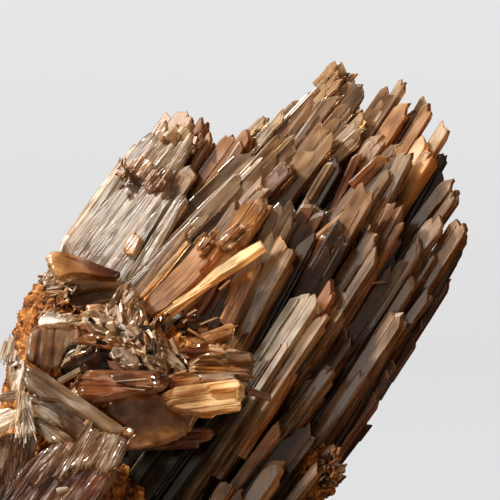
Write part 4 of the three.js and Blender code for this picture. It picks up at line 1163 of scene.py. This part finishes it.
# ---- The pale block ----
# Parallel blades of pale grey barite behind the sheaf's left shoulder, their tops stained by iron oxide. They
# grew on the matrix beside the sheaf and into it.
PALE_BLADES = [  # rows as in SHEAF_BACK
    (-5, 6, 101, 3.6, 4.6, 44, 56, 26, "round", "t", 1),
    (-1.9, 5, 101.8, 4.2, 4.6, 46, 58, 26, "round", "t", 1),
    (1, 4.4, 99.8, 2, 4.6, 46, 60, 22, "flat", "a", 1),
    (2.7, 3.4, 97.4, 1.6, 4.2, 44, 61, 20, "flat", "a", 1),
    (-2, 1, 90.6, 4.2, 3.6, 36, 58, 14, "round", "t", 1),
    (-2.8, -2, 83.4, 1.5, 2.2, 20, 59, 22, "flat", "h", 1),
    (-6.6, 11, 92, 7, 5, 42, 55, -20, "stepLeft", "p", 2),
]
PALE_RIBBED = [  # outline, depth, leans, thickness, tint, grain, far tint, ribs, lumps, crisp
    ([(-28, 73.4), (-25.2, 78.2), (-20, 85.2), (-15.2, 91.2), (-12.2, 95), (-10.4, 97.4), (-8.4, 98.2),
      (-7, 95), (-6, 88), (-5, 84), (-8, 79), (-12, 72), (-14, 67), (-20, 66.6), (-26, 69)],
     3, (-0.38, 0.27), 5, "n", 54, "q", 0.08, 0.06, True),
    ([(-11.4, 94), (-10.2, 97.2), (-8.8, 99.2), (-6.8, 100.4), (-6, 97), (-7.6, 93), (-9.6, 90.4)],
     4.2, (-0.2, 0.2), 3, "t", 55, "p", 0.12, 0.05, True),
    ([(-14.6, 88), (-12.6, 91.6), (-8, 96.6), (-5, 99.8), (-2, 99), (-1.2, 95), (-5, 88.8), (-9, 85.6),
      (-12, 85.8)], 1.2, (-0.2, 0.15), 2, "u", 57, "p", 0.12, 0.08, True),
    ([(-15, 67.6), (-10.6, 75.4), (-6.2, 82.2), (-4, 85.6), (-2.4, 84.6), (-5.8, 78), (-9.6, 71.6),
      (-12, 67.4)], -3, (-0.24, 0.2), 2.4, "n", 58, "u", 0.12, 0.05, True),
    ([(-17.4, 70), (-14.8, 75.6), (-10.4, 82.6), (-7.2, 88.6), (-5.4, 88.4), (-7.4, 83.4), (-12.4, 74.6),
      (-15.4, 69)], -0.4, (-0.3, 0.22), 2.4, "n", 57, "u", 0.12, 0.05, True),
    ([(-15.6, 89.4), (-14.2, 92.2), (-11.6, 93.2), (-9.6, 91.6), (-10.8, 88.8), (-13.6, 88)],
     0.7, (-0.2, 0.15), 1, "r", 56, "h", 0.2, 0.15, True),
    ([(-12, 87.2), (-9.8, 90.4), (-6.4, 90.8), (-5.4, 88.6), (-7.6, 85.6), (-10.6, 85.2)],
     -0.5, (-0.2, 0.15), 1, "r", 56, "t", 0.2, 0.15, True),
    ([(-15.7, 73.4), (-14.8, 75.8), (-13, 77.6), (-12, 76.4), (-13.6, 72.8)],
     -3.2, (-0.34, 0.3), 1, "c", 56, "h", 0.1, 0.1, True),
    ([(-28.6, 73.4), (-28.2, 75), (-26.4, 78.6), (-25, 78.6), (-26.8, 75.4), (-27.4, 73)],
     6, (-0.5, 0.4), 1.6, "i", 56, "w", 0.2, 0.1, True),
    ([(-27.4, 76.6), (-21.2, 85.9), (-13.4, 95.6), (-12.2, 95.2), (-19.6, 85.3), (-26, 75.8)],
     5, (-0.5, 0.3), 1.4, "i", 53, "g", 0.2, 0.1, True),
    # darker plates below the wedge, painted as the grey shade there
    ([(-28, 67.5), (-24, 69.5), (-20, 69), (-15.5, 68.2), (-15.3, 66.8), (-17, 66), (-20.8, 66.2),
      (-24.5, 65.8), (-27.5, 65)], -18, (0.1, 0.6), 2, "u", 8, "g", 0.3, 0.3, True),
    ([(-24.5, 66), (-15.5, 66.8), (-16.3, 65), (-17.2, 63.8), (-20, 63.2), (-22, 63), (-24.2, 61),
      (-27.5, 60.9), (-27, 62.5), (-25.8, 64.6)], -18.2, (0.1, 0.3), 2, "b", 12, "u", 0.3, 0.2, True),
    ([(-30.9, 69.5), (-30.3, 69.6), (-29.6, 68.6), (-28.2, 68), (-28, 66.8), (-29.5, 66.2), (-30.8, 66.4),
      (-31.2, 68)], -20, (0.2, 0.4), 1.2, "g", 60, "w", 0.2, 0.3, True),
]
PALE_CHIPS = [  # rows as in SHEAF_CHIPS
    ([(-17, 92), (-14, 93), (-13.6, 88), (-16.6, 86)], 24, -1, "oroa", (0.4, 1.3), 50),
    ([(-8, 97), (-3, 100), (1, 97), (-2, 92), (-7, 92)], 30, 0.4, "trhp", (0.6, 2.6), 58, 14),
    ([(-12, 90), (-7, 91), (-6, 87), (-10, 86)], 16, -3, "orhe", (0.8, 3), 54, 12, 0.3, (0.1, 0.25)),
    ([(-31, 69.6), (-28.4, 68.6), (-25, 67.4), (-24, 65), (-29, 65.6), (-31, 67)],
     40, -20.6, "wwpg", (1.2, 4.4), 20, 70, 0.5, (0.08, 0.22)),
]
pale_barite = barite("pale_barite", clear=0.30, side_glow_tint=(0.70, 0.52, 0.36), tip_glow_colour=(0.50, 0.34, 0.20),
                     tip_glow_share=0.35, rough=0.30, flaws=0.36, edges=0.30, ripple=0.12)
pale = Blades(23)
for *row, tint, parts in PALE_BLADES:
    bundle(pale, row, tint, parts, 0.3, 0.5, 1, 4)
for row in PALE_RIBBED:
    pale.ribbed(row, 0.15)
pale.feathers([(-27, 74.5), (-12.4, 94), (-9, 96), (-6, 88), (-14, 68), (-20, 67.4)],
              80, 2.7, (-0.38, 0.27), "ngpnwgnp", 54, (2, 14), (0.1, 0.6))
for row in PALE_CHIPS:
    pale.chips(*row)
pale_piece = pale.build("pale_blades", pale_barite)
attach(pale_piece, "root")
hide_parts("pale_crystal_block")

# ---- The front crystals ----
# Short stout honey and brown crystals that lie across the foot, below a knot of broken glassy ones. They grew
# into one another and into the matrix.
FRONT_RIBBED = [  # rows as in PALE_RIBBED
    # the dark heart behind them, a sheet painted near black as the shade there
    ([(-27.4, 50.4), (-26.4, 56.4), (-17, 59.4), (-9.4, 59.4), (-4.4, 53.4), (2.4, 52), (2.4, 44.6),
      (-1.4, 39.2), (-12.6, 38.2)], -30.8, (0, 0), 2.8, "k", 10, "d", 0.2, 0.3, True),
    # the rounded brown crystal, and beside it a darker plate painted as the shade of a hollow
    ([(-33.8, 53.3), (-33.7, 55), (-33.3, 57), (-32.2, 58.3), (-30, 58.9), (-27.3, 59.3), (-25.3, 59.3),
      (-24, 58.7), (-23, 57.7), (-22.7, 56.3), (-23.3, 55.3), (-25.3, 54.8), (-25.9, 54), (-26.7, 52.7),
      (-27, 51), (-28.3, 50), (-30, 50.3), (-31.7, 51.3), (-33.3, 52)],
     -31.6, (0.05, 0.3), 3.2, "t", 84, "m", 0.08, 0.25, False),
    ([(-26.6, 51), (-26, 53.2), (-25, 54.6), (-22, 55.4), (-19.5, 55.2), (-18.6, 53.3), (-19.3, 50.8),
      (-21, 50.2), (-24, 50.3)], -31.9, (0, -0.2), 2, "u", 30, "b", 0.1, 0.3, False),
    # crumbs along the hollow's edge
    ([(-24.2, 56.6), (-22.4, 57.6), (-19.6, 57.8), (-17, 56.8), (-14, 56.4), (-12, 55), (-10.8, 53.4),
      (-12, 53), (-14.4, 54.7), (-18, 55.2), (-21.4, 55.2), (-23.8, 55.6)],
     -33.2, (0, 0.2), 1.2, "o", -15, "a", 0.3, 1, True),
    # the white and silvery lumps
    ([(-31.4, 59.8), (-30.6, 61.2), (-28.6, 61.7), (-26.4, 61.2), (-24, 60.9), (-23.4, 60.2), (-24.6, 59.4),
      (-27, 59.1), (-29.6, 58.8), (-31, 58.9)], -31.4, (-0.1, 0.7), 1.6, "i", 5, "w", 0.3, 0.6, True),
    ([(-17.4, 53.8), (-16.6, 55), (-14.6, 55), (-12.6, 53.8), (-11.4, 52.2), (-11.6, 50.8), (-13.2, 50.4),
      (-15.6, 52)], -34.8, (0.1, 0.4), 2, "w", -40, "m", 0.4, 0.9, True),
    ([(-17.8, 52.8), (-16, 52.3), (-13.2, 50.4), (-13, 49.7), (-14.6, 49.6), (-17.2, 51.2)],
     -34.9, (0.1, 0.1), 1.6, "r", -40, "b", 0.2, 0.3, True),
    ([(-22.8, 61.8), (-20.5, 62.3), (-18, 60.5), (-16.6, 58.6), (-18, 57.4), (-21, 58.2), (-23.2, 59.4)],
     -31.5, (0.1, 0.4), 1.8, "w", -30, "i", 0.4, 1.1, True),
    ([(-18.4, 60.2), (-15.6, 60), (-12.6, 57.8), (-11.2, 55.6), (-13.4, 55.6), (-17, 57.4)],
     -32.2, (0.2, 0.3), 1.8, "i", -35, "g", 0.4, 1.1, True),
    ([(-12.4, 58.4), (-9.4, 58), (-6.8, 55.6), (-7.4, 53.9), (-10, 54), (-12, 55.8)],
     -32.6, (0.2, 0.3), 1.8, "g", -42, "w", 0.4, 1.1, True),
    ([(-7.4, 54.2), (-6.4, 54.9), (-4.6, 53.4), (-2.4, 50.9), (-3.2, 50.3), (-5.6, 51.6), (-7.2, 53)],
     -33.8, (0.2, 0.3), 1.6, "w", -45, "w", 0.3, 0.2, True),
    ([(-11.6, 53.9), (-9.6, 53.8), (-6.6, 51.6), (-6, 50.2), (-8, 50.4), (-10.8, 52.2)],
     -33.2, (0.2, 0.3), 1.6, "s", -45, "u", 0.4, 0.8, True),
    ([(-18.6, 60.5), (-18.2, 62.5), (-16.8, 63.7), (-16, 65), (-15.2, 66.4), (-14, 67.6), (-13, 67.3),
      (-12.4, 66), (-12.8, 64.8), (-11.5, 64), (-10.4, 62), (-10, 60), (-11.5, 58), (-14, 57.6),
      (-16.5, 58.4)], -27.5, (-0.25, 0.35), 4, "p", 76, "m", 0.6, 0.8, True),
    ([(-13.5, 62.9), (-12, 62.5), (-11, 61), (-11.4, 59.5), (-12.6, 59.3), (-13.6, 61)],
     -29.4, (-0.3, 0.5), 1, "w", 80, "s", 0.3, 0.3, True),
    ([(-22.3, 61.5), (-22, 63.2), (-19, 63.4), (-18, 62), (-16.9, 60.3), (-19.5, 60.6)],
     -27.2, (0.2, 0.2), 2, "h", 20, "t", 0.2, 0.4, True),
    # the amber crystal, its tan face and its rusty end
    ([(-23.6, 47.4), (-22.6, 49.5), (-21.6, 50.3), (-18, 50.5), (-12, 50.4), (-8.6, 49.9), (-6.4, 50.2),
      (-5.6, 48.8), (-6.8, 47.2), (-9, 46.5), (-12, 46.2), (-17, 45.3), (-20.6, 44.7), (-22.8, 45.2)],
     -36.6, (0, 0.25), 5, "a", -2, "r", 0.16, 0.16, True),
    ([(-17, 49.9), (-12, 50.2), (-8.4, 49.6), (-8, 48), (-12, 47.4), (-16, 48.4)],
     -39, (0.05, 0.35), 0.8, "b", -3, "a", 0.12, 0.1, False),
    ([(-9.2, 49.9), (-7.8, 50.9), (-6, 50.4), (-5.4, 48.8), (-6.4, 47), (-8.4, 46.8), (-9.4, 48.4)],
     -38.2, (0, 0.2), 2, "r", 0, "b", 0.3, 1, True),
    ([(-24.6, 46.6), (-23.4, 48.2), (-22.6, 45), (-24.2, 44.7)],
     -37, (-0.5, 0.3), 1.6, "h", 70, "c", 0.1, 0.2, True),
    # the brown block above the honey crystal
    ([(-2.4, 51.6), (-1.4, 52.6), (1.6, 53.6), (5.3, 53.9), (10.3, 53.7), (11, 52.2), (10.8, 50.4),
      (9.8, 48.4), (7.8, 49), (7, 49.6), (0.4, 49.7), (-1.8, 49.6)],
     -32.4, (0.05, 0.3), 3.8, "h", -2, "b", 0.5, 0.3, True),
    ([(4.8, 53.9), (10, 53.7), (10.4, 52.7), (8, 52.3), (5.4, 52.8)],
     -34.4, (0.05, 0.5), 0.9, "m", -2, "m", 0.2, 0.1, True),
    ([(-4.7, 54.5), (-2, 54.9), (0.8, 54.8), (2, 55.2), (5.4, 54.6), (10.2, 54), (9.6, 53.4), (5, 53.4),
      (1.4, 53.5), (-3, 53.7), (-5.2, 53.2)], -32.6, (0, 0.4), 1.8, "r", -2, "b", 0.3, 0.4, True),
    ([(1.6, 55.4), (3.5, 55.4), (5, 54.8), (7.7, 54.5), (8.2, 53.9), (5, 53.7), (2, 54.2)],
     -33.4, (0, 0.5), 1.2, "c", -8, "p", 0.3, 0.5, True),
    ([(-0.6, 49.9), (7, 50.1), (7.2, 48.8), (3.4, 48.4), (0.6, 48.4)],
     -36.2, (0.02, 0.4), 1.6, "m", 1, "s", 0.25, 0.1, True),
    ([(-6.4, 49.4), (-3.6, 50.2), (-0.4, 50), (0.6, 48.6), (-1.4, 47.4), (-5, 47.2), (-6.6, 48.2)],
     -35.4, (0, 0.3), 2, "a", 6, "h", 0.3, 0.3, True),
    # the honey crystal, with its clear end, and the rounded brown one below it
    ([(-7.2, 45.8), (-5, 47), (-2, 47.6), (1, 47.8), (5.3, 48.5), (7.8, 48.7), (8.7, 47.6), (8.9, 45.7),
      (8.4, 44.6), (8.3, 43.3), (6, 43.1), (3.7, 42.6), (2.6, 41.9), (0, 42), (-3, 42.4), (-6, 43.4)],
     -36.4, (0.02, 0.25), 4.8, "c", 7, "y", 0.16, 0.12, True),
    ([(1.6, 47.9), (5.3, 48.6), (7.9, 48.7), (8.3, 47.4), (5.2, 46.8), (2, 46.4)],
     -38.9, (0.02, 0.5), 0.9, "c", 8, "y", 0.15, 0.1, True),
    ([(7.3, 48.3), (8.5, 48.3), (8.9, 47.2), (8.9, 45.4), (8.3, 44.8), (7.5, 45.2)],
     -38.6, (0.5, 0.3), 1, "y", 88, "y", 0.05, 0.05, True),
    ([(1, 43.4), (4.6, 43.9), (8.3, 44.6), (8.3, 43.3), (6, 43), (3, 42.4)],
     -38.6, (0.02, -0.2), 0.9, "h", 7, "y", 0.15, 0.1, True),
    ([(-18, 44.6), (-13, 45.4), (-8, 45.9), (-3, 43.8), (0.2, 42.8), (0.1, 41.6), (-0.7, 40.4),
      (-1.4, 38.9), (-3.4, 37.3), (-6.4, 36.2), (-10.5, 35.4), (-14.6, 34.9), (-13.6, 37.3), (-12.2, 38.7),
      (-14.6, 40.6), (-17.6, 41.8)], -33.4, (0.05, 0.1), 4.4, "b", -33, "h", 0.1, 0.3, False),
    ([(-12, 34.8), (-8, 36.4), (-3.6, 37.4), (-1.4, 39.2), (0.6, 39.4), (2.6, 39), (3.1, 38), (2.4, 37),
      (0.4, 36.4), (0, 35.4), (-8, 35)], -31.4, (0.05, 0.1), 3, "b", 4, "r", 0.4, 0.4, True),
]
FRONT_CHIPS = [  # rows as in SHEAF_CHIPS
    ([(-23, 60.5), (-18, 60.5), (-12, 58.5), (-7.4, 56), (-9, 54.4), (-13, 55.4), (-18, 55.5), (-22.6, 56)],
     84, -32.8, "kgisgwsoki", (0.9, 3.2), -30, 60, 0.9, (0.15, 0.4)),
    ([(-13, 58.2), (-7, 58), (-3, 54), (-2.5, 51), (-6, 50), (-10, 51.5), (-12, 54.5)],
     74, -33.8, "kgsiugwd", (0.9, 3.2), -48, 40, 0.9, (0.15, 0.38)),
    ([(-28.5, 50.2), (-25.4, 54.2), (-21.5, 55.6), (-19, 55), (-21.6, 54.6), (-25, 53.2)],
     46, -33.6, "piswo", (0.6, 2.4), 45, 40, 0.6, (0.12, 0.3)),
    ([(-23, 56.4), (-18, 56.2), (-13, 55), (-10.6, 52.5), (-11.4, 54), (-16, 57)],
     30, -33.6, "oohr", (0.6, 2), -20, 40),
    ([(-17, 53.6), (-14, 54.2), (-11.6, 51.6), (-15, 51.2)], 26, -35.8, "iwmr", (0.5, 1.5), -30),
    ([(-31, 60), (-28, 61.4), (-24, 61), (-24, 59.6), (-28, 58.8)],
     34, -31.6, "iiwgi", (0.8, 3), 12, 40, 0.6, (0.15, 0.4)),
    ([(-19, 62), (-14, 66), (-11, 62), (-12, 58), (-18, 59.5)],
     40, -30.6, "mriwui", (0.8, 3), 72, 30, 0.6, (0.1, 0.28)),
    ([(-24.6, 48), (-22.6, 49.6), (-22.4, 44.8), (-24.6, 45)], 14, -37, "phr", (0.5, 1.6), 70),
    ([(-4, 55.2), (1, 56.2), (6, 55), (11, 52), (11, 48.6), (9, 49.6), (4, 53)],
     46, -33.2, "hotr", (0.5, 2), -4, 25),
    ([(-31, 61), (-31, 65.4), (-29, 66.6), (-26, 66), (-25.6, 62), (-29, 60)],
     14, -30, "pwch", (1.2, 3.6), 30, 50, 0.8, (0.05, 0.12)),
]
FRONT_SPLINTERS = [  # rows as in SHEAF_SPLINTERS
    ((-27, 48.7), (-22.8, 51), 0.9, -38, "s"),
    ((-26.8, 48.2), (-23.2, 50.2), 0.5, -37.8, "o"),
    ((-15, 40.7), (-9, 44), 0.7, -34.6, "h"),
    ((-18.8, 43.6), (-16, 45), 0.6, -33, "h"),
    ((10, 46.6), (14.2, 45.1), 1.2, -30, "o"),
    ((-14.5, 47.4), (-10.3, 47), 0.25, -39.6, "p"),
    ((-16.6, 48.6), (-9.8, 49.2), 0.2, -39.8, "w"),
    ((-13.4, 48), (-8.8, 47.6), 0.18, -39.8, "p"),
    ((-6.2, 49.2), (-2.2, 50.8), 0.45, -36, "p"),
    ((-1.6, 51.8), (0.2, 53), 0.3, -35.4, "w"),
    ((-2.2, 58.6), (0.8, 56.8), 0.5, -27, "h"),
]
honey_barite = barite("honey_barite", clear=0.40, side_glow_tint=(1.1, 0.7, 0.4), tip_glow_colour=(0.70, 0.52, 0.32),
                      tip_glow_share=0.25, rough=0.14, flaws=0.25, edges=0.24, ripple=0.20)
front = Blades(37)
for row in FRONT_RIBBED:
    front.ribbed(row, 0.3)
for row in FRONT_CHIPS:
    front.chips(*row)
for row in FRONT_SPLINTERS:
    front.splinter(*row)
front_piece = front.build("front_crystals", honey_barite)
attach(front_piece, "root")
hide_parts("front_crystal_cluster")

# ---- The lower left crystals ----
# Mauve-grey blades that point down to the right, a blunt block of clear-topped brown plates below them, and a
# wispy white sheaf beside it. They grew on the left of the matrix.
LOWER_RIBBED = [  # rows as in PALE_RIBBED
    # the blunt block: brown below, clear above
    ([(-40.5, 24), (-36, 29.5), (-33, 32.6), (-29.6, 35.2), (-27.4, 36.8), (-24.4, 37.4), (-20.6, 34.6),
      (-16.5, 33), (-15.4, 31.6), (-17, 29), (-20, 24), (-26, 12), (-38, 12)],
     -38.6, (-0.15, 0.2), 6, "d", 55, "r", 0.1, 0.08, True),
    ([(-28, 30.2), (-26, 33), (-23.6, 36.4), (-21.4, 40.4), (-20.4, 42), (-19.8, 41.4), (-20, 39.7),
      (-18.2, 38.9), (-16, 38.7), (-13.7, 37.7), (-14, 35.6), (-14.9, 33.6), (-15.4, 31.9), (-17.6, 30.5),
      (-20.5, 31.7), (-24, 31.6), (-26.4, 29.4)], -40.9, (-0.1, 0.25), 3.4, "t", 62, "g", 0.25, 0.15, True),
    ([(-18.6, 38.8), (-16, 38.6), (-13.8, 37.6), (-14.1, 35.6), (-15, 33.6), (-15.6, 32.4), (-17.8, 33),
      (-18.4, 36)], -42.4, (-0.05, 0.25), 0.9, "m", 66, "s", 0.1, 0.2, False),
    ([(-33, 29), (-30, 33.4), (-26.6, 37), (-25.6, 36.6), (-28.6, 32), (-31, 28.4)],
     -41.4, (-0.2, 0.2), 1.6, "b", 50, "u", 0.3, 0.1, True),
    # the long blade that points down to the right, light above and brown in front
    ([(-34, 48.8), (-33.9, 50.6), (-33, 51.5), (-31.2, 51), (-30, 50.2), (-26.7, 47.9), (-24, 45.7),
      (-21.3, 43.6), (-18.3, 41.6), (-14.8, 40), (-13.8, 39), (-16.4, 38.5), (-18.4, 39.3), (-21.3, 41.4),
      (-26.7, 44.6), (-30.6, 45), (-32.6, 46.6)], -38.6, (0.1, 0.55), 2.2, "g", -34, "g", 0.14, 0.1, True),
    ([(-30.8, 44.9), (-26.7, 44.9), (-21.3, 41.7), (-18.3, 39.3), (-18.6, 38.1), (-20.4, 37.6),
      (-23.3, 37.4), (-25.7, 38.6), (-29, 41.6)], -38, (0.1, 0), 2.2, "u", -33, "b", 0.12, 0.1, False),
    ([(-32.2, 42), (-29, 40.8), (-25.3, 38.4), (-24, 37.2), (-26.7, 36.4), (-28.7, 36.8), (-31, 39.1),
      (-32.4, 41)], -38.6, (0.1, 0.3), 1.8, "s", -36, "m", 0.5, 0.2, True),
    ([(-31.9, 44), (-29, 43.5), (-26.7, 41.6), (-26.2, 40.3), (-28.7, 40.4), (-31.3, 41.8)],
     -39.2, (0.1, 0.4), 1.4, "w", -30, "s", 0.4, 0.3, True),
    ([(-32.8, 46.2), (-30.4, 45.4), (-27.6, 44.6), (-27.4, 43.6), (-30, 43.4), (-32.6, 44.6)],
     -37.8, (0.1, 0.4), 1.6, "u", -20, "s", 0.4, 0.3, True),
    # the silvery knot above the white sheaf
    ([(-36.6, 53.2), (-35.4, 54), (-33.8, 52.2), (-33.2, 49.6), (-33.4, 47), (-34.6, 46), (-36, 46.6),
      (-36.8, 49), (-37, 51.6)], -36.4, (0.2, 0.3), 2, "i", 80, "i", 0.5, 0.9, True),
    ([(-39.4, 45.2), (-36.5, 46.6), (-35, 46.4), (-34.8, 45), (-36.6, 44.7)],
     -37.2, (0, 0.4), 1.4, "s", 8, "u", 0.3, 0.4, True),
    ([(-35.4, 46.2), (-33.8, 46.9), (-32.4, 45.6), (-31.9, 43), (-31.6, 40.4), (-32, 38), (-34.9, 37.8),
      (-35.4, 39.6), (-34.8, 42.6)], -38.8, (0.05, 0.3), 2, "i", 84, "w", 0.6, 0.3, True),
    ([(-41.4, 25), (-41.2, 34), (-39.6, 37), (-37, 38.4), (-34.6, 38.8), (-31.4, 39.4), (-31.2, 36),
      (-32, 33), (-34.6, 30.4), (-37.4, 27), (-39.4, 22)],
     -37.8, (0.1, 0.15), 3.4, "b", 80, "m", 0.3, 0.15, True),
    ([(-41.6, 38.8), (-41.4, 41.4), (-39, 43), (-36.6, 43.2), (-35, 42.6), (-35.4, 41), (-37, 39.4),
      (-39, 38.4)], -39, (-0.2, 0.8), 1.6, "i", 25, "i", 0.4, 0.7, True),
    ([(-14.6, 39.7), (-12.9, 39.9), (-12.4, 39.3), (-12, 38.6), (-13.5, 38), (-14.8, 38.2)],
     -40.6, (0.1, 0.4), 1, "c", 10, "o", 0.2, 0.4, True),
    ([(-27.3, 28.1), (-25.4, 28.6), (-24.7, 28.2), (-25.6, 27.6), (-27.1, 27.1)],
     -42.6, (0, 0.6), 0.8, "w", 15, "p", 0.1, 0.2, True),
]
LOWER_SPLINTERS = [  # rows as in SHEAF_SPLINTERS
    ((-25.6, 44.9), (-21.2, 42.1), 0.3, -40.4, "w"),
    ((-24, 43.4), (-21.8, 41.8), 0.2, -40.4, "s"),
    ((-29.6, 42.6), (-26, 39.8), 0.15, -40.4, "w"),
    ((-30.4, 40.4), (-26.4, 37.6), 0.15, -40.4, "w"),
    ((-21.9, 40.4), (-20.2, 42.2), 0.7, -40.4, "h"),
]
WISP_COUNT = 90
WISP_ROOT = (-33.9, 46.4)
WISP_DEPTH = -40.0
grey_barite = barite("grey_barite", clear=0.40, side_glow_tint=(1.0, 0.88, 0.76), tip_glow_colour=(0.54, 0.46, 0.38),
                     tip_glow_share=0.25, rough=0.13, flaws=0.35, edges=0.26, ripple=0.20)
lower = Blades(41)
for row in LOWER_RIBBED:
    lower.ribbed(row, 0.15)
lower.feathers([(-24, 38), (-18, 38.4), (-15, 37), (-15.4, 32.5), (-19, 31.4), (-25.5, 32)],
               26, -42.6, (-0.1, 0.25), "gsgswt", 61, (1.5, 6), (0.05, 0.16))
pick = lower.chance.uniform
for _ in range(WISP_COUNT):
    way = lower.chance.gauss(93, 9)
    far, long = pick(0.5, 6.5), pick(1.5, 4)
    x = WISP_ROOT[0] - (far + long / 2) * math.cos(math.radians(way))
    z = WISP_ROOT[1] - (far + long / 2) * math.sin(math.radians(way))
    width, y = pick(0.06, 0.2), WISP_DEPTH - pick(0, 0.9)
    tint = shade(TINTS[lower.chance.choice("iiwii")], pick(0.7, 1.2))
    lower.needle((x, z), way, long, width, y, (0.05, 0.3), tint)
for row in LOWER_SPLINTERS:
    lower.splinter(*row)
lower.chips([(-41, 38.2), (-36, 38.4), (-34.6, 37), (-39, 35)], 16, -38.4, "wpo", (0.4, 1.4), 20)
lower.feathers([(-40, 26), (-38, 36), (-32, 37.6), (-32.4, 33.4)],
               26, -39.9, (0.1, 0.15), "utbs", 78, (2, 7), (0.06, 0.2))
lower.feathers([(-42, 38.6), (-41, 40.6), (-36, 42.8), (-34.8, 43.2), (-36.4, 40.2)],
               50, -39.4, (-0.2, 0.7), "iiii", 24, (1.5, 5), (0.1, 0.4))
lower.feathers([(-38.6, 52.6), (-37.8, 56.6), (-35.6, 56.4), (-34.8, 53)],
               34, -36.4, (0.2, 0.3), "iiiw", 78, (1, 3.4), (0.12, 0.5))
lower.chips([(-36.6, 49), (-35.6, 52), (-33.6, 52), (-34.4, 46.6)], 26, -36.8, "iiwd", (0.4, 1.8), 70)
lower_piece = lower.build("lower_left_crystals", grey_barite)
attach(lower_piece, "root")
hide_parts("lower_left_crystal_cluster")

# ---- The wedge ----
# One thin brown crystal, wedge-shaped, that points left out of the cavity above the matrix it is rooted in.
# Its far end is clear and honey-coloured.
WEDGE_OUTLINE = [
    (-30.4, 72.2), (-30.1, 73.0), (-29.3, 73.5), (-28.2, 73.4), (-26.8, 73.0), (-24.0, 72.6), (-21.5, 71.4),
    (-18.5, 70.2), (-15.5, 69.3), (-16.5, 68.2), (-19.5, 68.3), (-22.5, 69.0), (-25, 69.0), (-27.8, 68.2),
    (-28.6, 69.0), (-29.6, 70.6),
]
wedge = Blades(53)
wedge.ribbed((WEDGE_OUTLINE, -20.0, (0.1, 0.45), 2.4, "r", 164, "c", 0.10, 0.2, False), 0.2)
wedge_piece = wedge.build("wedge_plate", honey_barite)
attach(wedge_piece, "root")
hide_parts("wedge_crystal")
